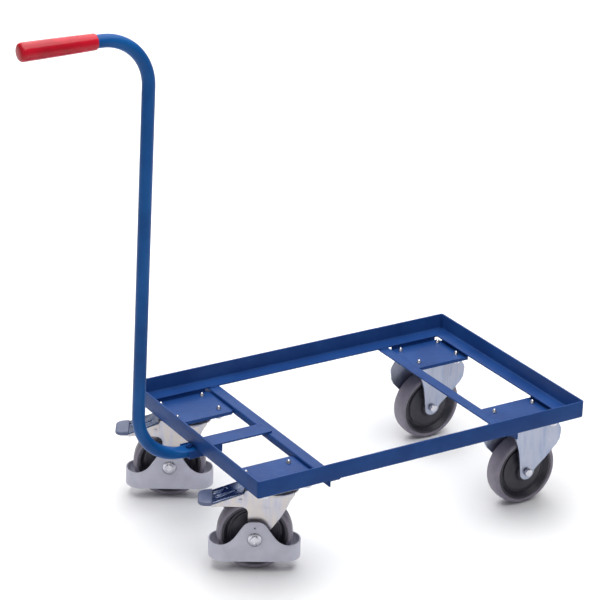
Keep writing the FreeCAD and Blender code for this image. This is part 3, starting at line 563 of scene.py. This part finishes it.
def edge_at(outline, height):
    """Read a cheek's edge, a list of (distance, height), at one height."""
    for (x0, z0), (x1, z1) in zip(outline, outline[1:]):
        low, high = min(z0, z1), max(z0, z1)
        if low <= height <= high and high > low:
            return x0 + (x1 - x0) * (height - z0) / (z1 - z0)
    return outline[-1][0] if height > outline[-1][1] else outline[0][0]


def sheet_from_grid(rows, thickness, place, smooth_angle=30):
    """Give a grid of mid-surface points a thickness, and put it in place."""
    build = bmesh.new()
    grid = [[build.verts.new(point) for point in row] for row in rows]
    for a, b in zip(grid, grid[1:]):
        for j in range(len(a) - 1):
            build.faces.new([a[j], a[j + 1], b[j + 1], b[j]])
    bmesh.ops.remove_doubles(build, verts=build.verts, dist=0.02 * MM)
    bmesh.ops.recalc_face_normals(build, faces=build.faces)
    bmesh.ops.solidify(build, geom=build.faces[:], thickness=thickness)
    tidy_mesh(build, smooth_angle)
    bmesh.ops.transform(build, matrix=place, verts=build.verts)
    return build


def cheek_heights(upper):
    """Heights of a cheek's rows: round its foot, then at the given millimetres."""
    foot = [WHEEL_RADIUS - FORK_FOOT * math.cos(math.radians(a)) for a in range(0, 90, 9)]
    return foot + [z * MM for z in upper]


def cheek_width(z, behind, ahead):
    """Where a cheek starts and ends at one height, along the castor."""
    if z <= WHEEL_RADIUS:
        reach = math.sqrt(max(FORK_FOOT ** 2 - (WHEEL_RADIUS - z) ** 2, 0))
        return -reach, reach
    return -edge_at(behind, z), edge_at(ahead, z)


def fixed_cheek(hand, place):
    """One pressed cheek of the rigid fork: creased, flared at its edges and round at the foot."""
    behind = in_metres([(14.5, 62.5), (16.5, 84), (19.5, 103), (24, 117), (29.5, 129), (28, 134),
                        (28, 154.5)])
    ahead = in_metres([(14.5, 62.5), (20, 68), (35.5, 80), (47.5, 92.5), (58, 104), (63, 114), (64, 134),
                       (56, 148), (52, 154.5)])
    stations = [-40, -32, -26, -21, -17, -14, -12.6, -11.2, -7, -3, 1, 5, 9, 13, 17, 20, 21.5, 23, 27, 31,
                35, 39, 43, 47, 51, 55, 59, 63, 70]
    crease_ahead, crease_behind = 21.5 * MM, 12.6 * MM
    rows = []
    for z in cheek_heights([63, 68, 74, 80, 86, 92, 98, 104, 109, 114, 119, 124, 129, 132, 136, 141, 146,
                            150, 153, 154.5]):
        low, high = cheek_width(z, behind, ahead)
        rise = min(max((z - 70 * MM) / (60 * MM), 0), 1)
        row = []
        for station in stations:
            x = min(max(station * MM, low), high)
            flare = max(x - crease_ahead, 0) * 0.16 + max(-crease_behind - x, 0) * 0.28
            y = FORK_SIDE + flare * rise - 1.2 * MM * rise
            row.append(Vector((x * hand, -y * hand, z)))
        rows.append(row)
    return sheet_from_grid(rows, FORK_SHEET, place)


def castor_top(place, bottom, top):
    """Rounded top plate; its bolts' heads hide their holes."""
    half_x, half_y = 52.5 * MM, 42.5 * MM
    outline = rounded_outline(
        [(-half_x, -half_y), (half_x, -half_y), (half_x, half_y), (-half_x, half_y)], 14 * MM, 6)
    build = bmesh.new()
    ring_faces(build, [[(p.x, p.y, z) for p in outline] for z in (bottom, top)], closed_path=False)
    tidy_mesh(build)
    bmesh.ops.transform(build, matrix=place, verts=build.verts)
    return build


def join_builds(builds):
    """Several separate shells as one mesh."""
    whole = bmesh.new()
    for build in builds:
        mesh = to_mesh(build, "part")
        whole.from_mesh(mesh)
        bpy.data.meshes.remove(mesh)
    return whole


def make_fixed_fork(label):
    """Rigid fork: two cheeks and the top plate, pressed from one sheet."""
    place = castor_place(label)
    top = castor_top(place, 154.5 * MM, 158 * MM)
    build = join_builds([top, fixed_cheek(1, place), fixed_cheek(-1, place)])
    piece = new_piece(f"pressed_fork_{label}", to_mesh(build, "pressed_fork"), f"fork_{label}")
    bevelled(piece, 0.6 * MM)


for side in SIDES:
    make_fixed_fork(f"fixed_{side}")


def guard_edge(distance):
    """Height of the foot guard's upper edge: a rounded peak at the axle, a slope, a sweep, then level."""
    peak, slope_top, trough = 93, 85, 50
    peak_round, sweep_round, slope = 18, 34, 1.52
    round_from, slope_from, sweep_from, level_from = 4.1, 19.1, 32.2, 60.5
    d = abs(distance) / MM
    if d < round_from:
        return peak * MM
    if d < slope_from:
        return (peak - peak_round + math.sqrt(peak_round ** 2 - (d - round_from) ** 2)) * MM
    if d < sweep_from:
        return (slope_top - slope * (d - slope_from)) * MM
    if d < level_from:
        return (trough + sweep_round - math.sqrt(sweep_round ** 2 - (level_from - d) ** 2)) * MM
    return trough * MM


def disc_cutter(place, x, z, radius, y_from, y_to):
    """A short round bar across the castor, to cut a hole or a recess with."""
    build = bmesh.new()
    ring_faces(build, [[
        place @ Vector((x + radius * math.cos(a), y, z + radius * math.sin(a))) for a in circle(40)]
        for y in (y_from, y_to)], closed_path=False)
    tidy_mesh(build)
    return placed("cutter", to_mesh(build, "cutter"))


def evaluated_mesh(thing, name):
    """The object's mesh with its modifiers applied; the object itself is removed."""
    bpy.context.view_layer.update()
    graph = bpy.context.evaluated_depsgraph_get()
    mesh = bpy.data.meshes.new_from_object(thing.evaluated_get(graph))
    mesh.name = name
    bpy.data.objects.remove(thing)
    return mesh


def carved(build, cutters, name):
    """Cut the cutters from a closed shell."""
    thing = placed(name, to_mesh(build, name))
    for cutter in cutters:
        modifier = thing.modifiers.new("cut", "BOOLEAN")
        modifier.operation = "DIFFERENCE"
        modifier.solver = "EXACT"
        modifier.object = cutter
    mesh = evaluated_mesh(thing, name)
    for cutter in cutters:
        bpy.data.objects.remove(cutter)
    return mesh


def make_guard(label):
    """Moulded foot guard: a ring round the wheel with a peak, a boss and a recess at each axle end."""
    place = castor_place(label)
    half_x, half_y, corner = 75.5 * MM, 29 * MM, 27 * MM
    wall, edge, bottom = 2.6 * MM, 0.9 * MM, 20.5 * MM
    bolt_z, vent_z = 61.2 * MM, 82.4 * MM
    around = []
    for sign_x, sign_y, angle in corner_turns(12):
        outward = Vector((math.cos(angle), math.sin(angle)))
        centre = Vector((sign_x * (half_x - corner), sign_y * (half_y - corner)))
        around.append((centre + corner * outward, outward))
    points = []
    for index, (point, outward) in enumerate(around):
        points.append((point, outward))
        following = around[(index + 1) % len(around)][0]
        if (following - point).length > half_x:
            points += [(point.lerp(following, step / 60), outward) for step in range(1, 60)]
    rows = []
    for point, outward in points:
        top = guard_edge(point.x)
        tall = top - bottom
        profile = [(0, bottom + edge), (0, bottom + tall * 0.33), (0, bottom + tall * 0.66),
                   (0, top - edge), (edge * 0.3, top - edge * 0.3), (edge, top),
                   (wall - edge, top), (wall - edge * 0.3, top - edge * 0.3), (wall, top - edge),
                   (wall, bottom + tall * 0.66), (wall, bottom + tall * 0.33),
                   (wall, bottom + edge), (wall - edge, bottom), (edge, bottom)]
        rows.append([place @ Vector((point.x - outward.x * inset - TRAIL, point.y - outward.y * inset, z))
                     for inset, z in profile])
    build = bmesh.new()
    ring_faces(build, rows, closed_path=True)
    tidy_mesh(build, 60)
    cutters = []
    for hand in (1, -1):
        outside = hand * (half_y + 1 * MM)
        for z, radius, depth in ((bolt_z, 12.6 * MM, 1.5 * MM), (vent_z, 1.7 * MM, 4 * MM)):
            cutters.append(disc_cutter(place, -TRAIL, z, radius, outside, hand * (half_y - depth)))
    whole = bmesh.new()
    whole.from_mesh(carved(build, cutters, "moulded_guard"))
    for hand in (1, -1):
        boss = in_metres([(4.2, hand * 21.7), (11, hand * 21.7), (11, hand * 27.2), (4.2, hand * 27.2)])
        part = lathe(boss, place, -TRAIL, 48)
        tidy_mesh(part, 40)
        whole.from_mesh(to_mesh(part, "boss"))
    for line in whole.edges:
        line.smooth = True
    smooth_by_angle(whole, 40)
    new_piece(f"moulded_guard_{label}", to_mesh(whole, "moulded_guard"), f"foot_guard_{label}")


for side in SIDES:
    make_guard(f"swivel_{side}")


# ------------------------ brake pedal

def z_rib(back, across):
    """Height of the pressed Z-shaped bead at a point of the pedal."""
    route = [(101, 10.5), (82, 10), (96, -6.5), (67, -6.5)]
    rib_height, rib_half = 2.0 * MM, 2.7
    point = Vector((back / MM, across / MM))
    nearest = 100
    for start, end in zip(route, route[1:]):
        start, end = Vector(start), Vector(end)
        part = max(0, min(1, (point - start).dot(end - start) / (end - start).length_squared))
        nearest = min(nearest, (point - start - (end - start) * part).length)
    return rib_height * max(0, 1 - (nearest / rib_half) ** 2) ** 0.6


def make_pedal(label):
    """Pressed pedal: a sloping sheet with a Z-shaped bead and two short flanks."""
    place = castor_place(label)
    half, sheet, fold = 26 * MM, 2.5 * MM, 3.2 * MM
    start, length = 52, 52
    top_start, top_drop = 145 * MM, 20.5
    low_start, low_from, low_slope = 126 * MM, 64 * MM, 8.5
    rings = []
    for step in range(length + 1):
        back = (start + step) * MM
        top = top_start - (back - start * MM) * top_drop / length
        low = low_start - max(back - low_from, 0) * low_slope / 40
        section = []
        for inset in (0, sheet):
            line = []
            reach = half - inset
            bend = fold - inset
            for hand in (-1, 1):
                run = [(hand * reach, low), (hand * reach, top - fold - 2 * MM)]
                for k in range(7):
                    a = math.pi / 2 * k / 6
                    run.append((hand * (reach - bend + bend * math.cos(a)),
                                top - inset - bend + bend * math.sin(a)))
                line += run if hand < 0 else list(reversed(run))
                if hand < 0:
                    line += [(v * MM, top - inset + z_rib(back, v * MM)) for v in range(-22, 23)]
            section += list(reversed(line)) if inset else line
        rings.append([place @ Vector((-back, v, z)) for v, z in section])
    build = bmesh.new()
    ring_faces(build, rings, closed_path=False)
    tidy_mesh(build, 50)
    piece = new_piece(f"pressed_pedal_{label}", to_mesh(build, "pressed_pedal"), f"brake_pedal_{label}",
                      finish=ZINC_PEDAL_PAINTED_DARK)
    # Faces that look up get the glossy pedal zinc, whose darker, bluer colour is painted dark reflection;
    # the flanks keep the plain fork zinc.
    piece.data.materials.append(ZINC_FORK)
    for face in piece.data.polygons:
        face.material_index = int(abs(face.normal.z) < 0.25)


def make_pedal_tip(label):
    """Moulded toe pad at the pedal's end, rounded at its outer corners and all its edges."""
    place = castor_place(label)
    start, end, half = 104 * MM, 127 * MM, 25 * MM
    low, high, drop = 118.5 * MM, 127 * MM, 2.5
    bend, nip = 12 * MM, 1 * MM
    levels = [(4, 0), (1.6, 0.04), (0.5, 0.16), (0, 0.34), (0, 0.62), (0.4, 0.8), (1.4, 0.93), (3, 0.985),
              (5.5, 1), (8, 1)]
    rings = []
    for inset, part in levels:
        inset *= MM
        outline = rounded_outline(
            [(start + inset * 0.2, half - inset), (start + inset * 0.2, inset - half),
             (end - inset, inset - half), (end - inset, half - inset)],
            [nip, nip, bend - inset, bend - inset], 8)
        rings.append([place @ Vector((-p.x, p.y, low + (high - (p.x - start) * drop / 23 - low) * part))
                      for p in outline])
    build = bmesh.new()
    ring_faces(build, rings, closed_path=False)
    tidy_mesh(build, 60)
    new_piece(f"toe_pad_{label}", to_mesh(build, "toe_pad"), f"pedal_tip_{label}")


for side in SIDES:
    make_pedal(f"swivel_{side}")
    make_pedal_tip(f"swivel_{side}")
    softened(f"brake_shoe_swivel_{side}", 0.8 * MM)


def swivel_cheek(hand, place):
    """One cheek of the swivel fork, with the arm that runs back under the pedal."""
    ahead = in_metres([(14.5, 62.5), (26, 76), (41.5, 98.5), (51, 117), (57, 131.5), (64, 143), (64, 146)])
    behind = in_metres([(14.5, 62.5), (12, 76), (11.6, 90), (11.6, 107), (14, 112.5), (20, 116),
                        (62, 116.6), (62, 117), (26, 136), (16, 143), (16, 146)])
    columns = 20
    rows = []
    for z in cheek_heights([63, 68, 74, 80, 86, 92, 98, 104, 107, 110, 112.5, 114.5, 116, 116.6, 117, 119.5,
                            122, 125, 128, 131, 134, 136, 139.5, 143, 146]):
        low, high = cheek_width(z, behind, ahead)
        rise = min(max((z - 80 * MM) / (50 * MM), 0), 1)
        row = []
        for column in range(columns + 1):
            x = low + (high - low) * column / columns
            y = FORK_SIDE + max(x - 15.5 * MM, 0) * 0.14 * rise
            row.append(Vector((x - TRAIL, -y * hand, z)))
        rows.append(row)
    return sheet_from_grid(rows, FORK_SHEET, place)


def make_swivel_fork(label):
    """Two pressed cheeks and a web under a round crown that carries the lower race."""
    place = castor_place(label)
    crown = in_metres([(6.1, 143), (37.4, 143), (38, 143.7), (38, 145.6), (37, 146.6), (33.5, 147),
                       (31.5, 146.4), (26.5, 146.4), (24.5, 147), (6.1, 147)])
    build = bmesh.new()
    ring_faces(build, [[place @ Vector((r * math.cos(angle), r * math.sin(angle), z)) for r, z in crown]
                       for angle in circle(72)], closed_path=True)
    tidy_mesh(build, 40)
    web = bmesh.new()
    bmesh.ops.create_cube(web, size=1, matrix=place @ Matrix.Translation((-10 * MM, 0, 144.4 * MM))
                          @ Matrix.Diagonal((78 * MM, 41 * MM, 2.7 * MM, 1)))
    build = join_builds([build, web, swivel_cheek(1, place), swivel_cheek(-1, place)])
    piece = new_piece(f"pressed_fork_{label}", to_mesh(build, "pressed_fork"), f"fork_{label}",
                      finish=ZINC_FORK)
    bevelled(piece, 0.5 * MM)


for side in SIDES:
    make_swivel_fork(f"swivel_{side}")


# ------------------------ bolts and welds

def start_tree(name, sizes):
    """A geometry node tree with named sizes and a finish, and its input node."""
    tree = bpy.data.node_groups.new(name, "GeometryNodeTree")
    tree.interface.new_socket("Geometry", in_out="INPUT", socket_type="NodeSocketGeometry")
    for size in sizes:
        tree.interface.new_socket(size, in_out="INPUT", socket_type="NodeSocketFloat")
    tree.interface.new_socket("Finish", in_out="INPUT", socket_type="NodeSocketMaterial")
    tree.interface.new_socket("Geometry", in_out="OUTPUT", socket_type="NodeSocketGeometry")
    return tree, tree.nodes.new("NodeGroupInput").outputs


def end_tree(tree, geometry, finish):
    """Close the tree with Realize Instances and Set Material."""
    real = add(tree, "GeometryNodeRealizeInstances", {"Geometry": geometry}).outputs[0]
    done = add(tree, "GeometryNodeSetMaterial", {"Geometry": real, "Material": finish}).outputs[0]
    tree.links.new(done, tree.nodes.new("NodeGroupOutput").inputs[0])


def calc(tree, operation, *values):
    """One math node."""
    return add(tree, "ShaderNodeMath", dict(enumerate(values)), operation=operation).outputs[0]


def combined(tree, **parts):
    return add(tree, "ShaderNodeCombineXYZ", parts).outputs[0]


def shaped_bar(tree, corners, segments, length, radius_of):
    """A capped cylinder of the given length from z = 0, whose radius follows radius_of(turn, height)."""
    bar = add(tree, "GeometryNodeMeshCylinder", {
        "Vertices": corners, "Side Segments": segments, "Fill Segments": 1, "Radius": 1.0, "Depth": 1.0,
    }, fill_type="TRIANGLE_FAN").outputs["Mesh"]
    place = add(tree, "GeometryNodeInputPosition").outputs[0]
    parts = add(tree, "ShaderNodeSeparateXYZ", {"Vector": place}).outputs
    turn = calc(tree, "ARCTAN2", parts["Y"], parts["X"])
    height = calc(tree, "MULTIPLY", calc(tree, "ADD", parts["Z"], 0.5), length)
    radius = radius_of(turn, height)
    moved = combined(tree, X=calc(tree, "MULTIPLY", parts["X"], radius),
                     Y=calc(tree, "MULTIPLY", parts["Y"], radius), Z=height)
    return add(tree, "GeometryNodeSetPosition", {"Geometry": bar, "Position": moved}).outputs[0]


def hex_bolt_tree():
    """Hex bolts on points: chamfered head from z = 0, its flange, then a domed, threaded shank."""
    tree, given = start_tree("hex_bolts", (
        "Across Flats", "Head Height", "Flange Radius", "Shank Radius", "Shank Length", "Thread Pitch",
        "Thread Depth"))

    def times(a, b):
        return calc(tree, "MULTIPLY", a, b)

    def plus(a, b):
        return calc(tree, "ADD", a, b)

    def minus(a, b):
        return calc(tree, "SUBTRACT", a, b)

    def head_radius(turn, height):
        sixth, chamfer_start, chamfer_slope = math.pi / 3, 0.47, 1.73
        folded = minus(calc(tree, "FLOORED_MODULO", plus(turn, sixth / 2), sixth), sixth / 2)
        flat = calc(tree, "DIVIDE", times(given["Across Flats"], 0.5), calc(tree, "COSINE", folded))
        cone = plus(times(given["Across Flats"], chamfer_start), times(height, chamfer_slope))
        return calc(tree, "MINIMUM", flat, cone)

    def flange_radius(turn, height):
        cone = plus(times(given["Flange Radius"], 0.72), times(height, 2.6))
        return calc(tree, "MINIMUM", given["Flange Radius"], cone)

    def shank_radius(turn, height):
        along = plus(calc(tree, "DIVIDE", height, given["Thread Pitch"]),
                     calc(tree, "DIVIDE", turn, 2 * math.pi))
        wave = times(calc(tree, "PINGPONG", along, 0.5), 2.0)
        ridged = minus(given["Shank Radius"], times(wave, given["Thread Depth"]))
        left = calc(tree, "DIVIDE", minus(given["Shank Length"], height), given["Shank Radius"])
        dome = calc(tree, "POWER", calc(tree, "MINIMUM", plus(left, 0.04), 1.0), 0.5)
        return calc(tree, "MINIMUM", ridged, times(given["Shank Radius"], dome))

    def moved_up(shape, height):
        return add(tree, "GeometryNodeTransform", {
            "Geometry": shape, "Translation": combined(tree, Z=height)}).outputs[0]

    head_height = given["Head Height"]
    head = shaped_bar(tree, 48, 12, head_height, head_radius)
    flange = shaped_bar(tree, 40, 6, times(head_height, 0.33), flange_radius)
    flange = moved_up(flange, times(head_height, 0.66))
    shank = moved_up(shaped_bar(tree, 20, 72, given["Shank Length"], shank_radius), head_height)
    joined = tree.nodes.new("GeometryNodeJoinGeometry")
    for part in (head, flange, shank):
        tree.links.new(part, joined.inputs[0])
    axis = add(tree, "GeometryNodeInputNamedAttribute", {"Name": "axis"},
               data_type="FLOAT_VECTOR").outputs[0]
    turned = add(tree, "FunctionNodeAlignRotationToVector", {"Vector": axis}, axis="Z").outputs[0]
    points = add(tree, "GeometryNodeMeshToPoints", {"Mesh": given["Geometry"]}).outputs[0]
    bolts = add(tree, "GeometryNodeInstanceOnPoints", {
        "Points": points, "Instance": joined.outputs[0], "Rotation": turned}).outputs[0]
    end_tree(tree, bolts, given["Finish"])
    return tree


def weld_tree():
    """Rippled weld beads along edges, tapered at both ends."""
    tree, given = start_tree("weld_beads", ("Bead Radius", "Ripple Pitch", "Ripple Depth"))
    line = add(tree, "GeometryNodeMeshToCurve", {"Mesh": given["Geometry"]}).outputs[0]
    step = calc(tree, "DIVIDE", given["Ripple Pitch"], 5.0)
    line = add(tree, "GeometryNodeResampleCurve", {"Curve": line, "Length": step}, mode="LENGTH").outputs[0]
    along = add(tree, "GeometryNodeSplineParameter").outputs
    wave = calc(tree, "COSINE", calc(tree, "MULTIPLY", calc(
        tree, "DIVIDE", along["Length"], given["Ripple Pitch"]), 2 * math.pi))
    swell = calc(tree, "ADD", 1.0, calc(tree, "MULTIPLY", wave, given["Ripple Depth"]))
    offset = calc(tree, "SUBTRACT", calc(tree, "MULTIPLY", along["Factor"], 2.0), 1.0)
    offset = calc(tree, "ABSOLUTE", offset)
    taper = calc(tree, "SQRT", calc(tree, "SUBTRACT", 1.02, calc(tree, "POWER", offset, 6.0)))
    size = calc(tree, "MULTIPLY", calc(tree, "MULTIPLY", swell, taper), given["Bead Radius"])
    ring = add(tree, "GeometryNodeCurvePrimitiveCircle", {"Resolution": 8, "Radius": 1.0}).outputs[0]
    solid = add(tree, "GeometryNodeCurveToMesh", {
        "Curve": line, "Profile Curve": ring, "Scale": size, "Fill Caps": True}).outputs[0]
    end_tree(tree, solid, given["Finish"])
    return tree


def grown(tree, points, edges, axes, sizes, finish, name):
    """Run a tree on points or edges and return the plain mesh."""
    mesh = bpy.data.meshes.new(name)
    mesh.from_pydata([tuple(point) for point in points], edges, [])
    if axes:
        stored = mesh.attributes.new("axis", "FLOAT_VECTOR", "POINT")
        for item, axis in zip(stored.data, axes):
            item.vector = axis
    thing = placed(name, mesh)
    modifier = thing.modifiers.new(name, "NODES")
    modifier.node_group = tree
    sizes = dict(sizes, Finish=finish)
    for socket in tree.interface.items_tree:
        if socket.in_out == "INPUT" and socket.name in sizes:
            modifier[socket.identifier] = sizes[socket.name]
    build = bmesh.new()
    build.from_mesh(evaluated_mesh(thing, name))
    tidy_mesh(build, 32)
    result = to_mesh(build, name)
    result.materials.append(finish)
    return result


M8 = {"Across Flats": 13 * MM, "Head Height": 5.3 * MM, "Flange Radius": 6.5 * MM, "Shank Radius": 4 * MM,
      "Thread Pitch": 1.25 * MM, "Thread Depth": 0.55 * MM}
BOLTS = hex_bolt_tree()


def make_castor_bolts():
    """Four bolts up through each castor's plate, with their rounded ends above the corner plates."""
    low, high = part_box("castor_bolts")
    spots = []
    for label in ("fixed_near", "fixed_far", "swivel_near", "swivel_far"):
        spot = castor_place(label).translation
        spots += [Vector((spot.x + x * MM, spot.y + y * MM, low.z)) for x in (-40, 40) for y in (-30, 30)]
    sizes = dict(M8, **{"Shank Length": high.z - low.z - M8["Head Height"]})
    mesh = grown(BOLTS, spots, [], [(0, 0, 1)] * len(spots), sizes, ZINC_BOLT, "castor_plate_bolts")
    new_piece("castor_plate_bolts", mesh, "castor_bolts")


def make_axle_bolt(label):
    """The bolt that the wheel turns round, with its head towards the near side."""
    place = castor_place(label)
    swivel = label.startswith("swivel")
    half_grip = 29 * MM if swivel else 21.5 * MM
    head = M8["Head Height"]
    start = place @ Vector((-TRAIL if swivel else 0, -half_grip - head, WHEEL_RADIUS))
    axis = place.to_3x3() @ Vector((0, 1, 0))
    sizes = dict(M8, **{"Shank Length": 2 * half_grip + head + 4 * MM})
    if swivel:
        sizes["Flange Radius"] = 11.2 * MM
    mesh = grown(BOLTS, [start], [], [axis], sizes, ZINC_BOLT, "wheel_bolt")
    new_piece(f"wheel_bolt_{label}", mesh, f"axle_bolt_{label}")


make_castor_bolts()
for side in SIDES:
    make_axle_bolt(f"fixed_{side}")
    make_axle_bolt(f"swivel_{side}")
    for kind in ("fixed", "swivel"):
        softened(f"axle_nut_{kind}_{side}", 0.35 * MM)
    softened(f"top_plate_swivel_{side}", 0.5 * MM)
    softened(f"pedal_pin_swivel_{side}", 0.4 * MM, finish=ZINC_FORK)
softened("castor_washers", 0.25 * MM)
softened("handle_bolts", 0.35 * MM, finish=FRAME_PAINT)
softened("handle_nut", 0.3 * MM, finish=FRAME_PAINT)


def make_frame_welds():
    """Beads in the mitred corners and where the cross members meet the angles."""
    points, edges = [], []

    def bead(start, end):
        edges.append((len(points), len(points) + 1))
        points.extend([Vector(start), Vector(end)])

    ledge = RIM_LOW.z + STEEL
    root, toe = STEEL + 0.6 * MM, LEG - 1 * MM
    for sign_x in (-1, 1):
        for sign_y in (-1, 1):
            corner, inner = (
                CENTRE + Vector((sign_x * (HALF_LENGTH - inset), sign_y * (HALF_WIDTH - inset), 0))
                for inset in (root, toe))
            bead((corner.x, corner.y, ledge + 1.5 * MM), (corner.x, corner.y, RIM_HIGH.z - 3 * MM))
            bead((corner.x, corner.y, ledge - 0.4 * MM), (inner.x, inner.y, ledge - 0.4 * MM))
    for member in ("cross_member_rear", "cross_member_front"):
        low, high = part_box(member)
        for sign in (-1, 1):
            y = CENTRE.y + sign * (HALF_WIDTH - LEG - 0.3 * MM)
            bead((low.x + 3 * MM, y, RIM_LOW.z + 0.3 * MM), (high.x - 3 * MM, y, RIM_LOW.z + 0.3 * MM))
    sizes = {"Bead Radius": 1.6 * MM, "Ripple Pitch": 2.4 * MM, "Ripple Depth": 0.12}
    mesh = grown(weld_tree(), points, edges, None, sizes, FRAME_PAINT, "frame_welds")
    piece = placed("frame_welds", mesh)
    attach(piece, BODY_OF_NODE["rail_near"])


make_frame_welds()


# ------------------------ floor, light, camera

def make_floor():
    """A pale floor well past the object."""
    build = bmesh.new()
    bmesh.ops.create_grid(build, x_segments=8, y_segments=8, size=6.0)
    floor = placed("floor", to_mesh(build, "floor"))
    floor.data.materials.append(matt_floor())
    floor.location.z = -0.2 * MM


def add_area(name, position, target, size, power):
    """A rectangular lamp that faces its target."""
    light = bpy.data.lights.new(name, "AREA")
    light.shape = "RECTANGLE"
    light.size, light.size_y = size
    light.energy = power
    lamp = placed(name, light)
    lamp.location = position
    lamp.rotation_euler = (Vector(target) - Vector(position)).to_track_quat("-Z", "Y").to_euler()


def make_studio():
    """Dim white surround, a large soft box above, faint ones left and behind, and a wash on the floor."""
    world = bpy.data.worlds.new("studio")
    bpy.context.scene.world = world
    world.use_nodes = True
    background = world.node_tree.nodes["Background"]
    background.inputs["Color"].default_value = (1, 1, 1, 1)
    background.inputs["Strength"].default_value = 0.26
    add_area("overhead_box", (0.1, -0.1, 2.7), (0, 0, 0.1), (3.4, 2.8), 98)
    add_area("left_box", (-2.4, -1.6, 1.7), (0, 0, 0.3), (1.2, 1.6), 1.5)
    add_area("back_box", (0.6, 2.6, 1.6), (0, 0, 0.3), (2.4, 1.2), 8)
    add_area("floor_wash", (2.2, 4.2, 3.4), (2.4, 5.0, 0), (7.0, 3.0), 260)


def make_camera():
    """Long lens from the near left, a little above the rim, rolled slightly."""
    azimuth, elevation, roll = math.radians(-31.45), math.radians(22.70), -0.025
    back = Vector((math.sin(azimuth) * math.cos(elevation), -math.cos(azimuth) * math.cos(elevation),
                   math.sin(elevation)))
    right = (-back).cross(Vector((0, 0, 1))).normalized()
    up = right.cross(-back)
    turned_right = right * math.cos(roll) - up * math.sin(roll)
    turned_up = right * math.sin(roll) + up * math.cos(roll)
    data = bpy.data.cameras.new("camera")
    data.sensor_width = 36
    data.lens = 145.7
    data.clip_end = 50
    camera = placed("camera", data)
    position = CENTRE + Vector((-2.049, -3.155, 1.939))
    camera.matrix_world = Matrix((
        (turned_right.x, turned_up.x, back.x, position.x),
        (turned_right.y, turned_up.y, back.y, position.y),
        (turned_right.z, turned_up.z, back.z, position.z),
        (0, 0, 0, 1)))
    bpy.context.scene.camera = camera


make_floor()
make_studio()
make_camera()
bpy.context.scene.view_settings.view_transform = "Standard"

# Nodes that keep their CAD shape get their real finish here.
for node, thing in frame["nodes"].items():
    thing.data.materials.clear()
    thing.data.materials.append(MATERIAL_OF_SLOT[SLOT_OF_NODE[node]])
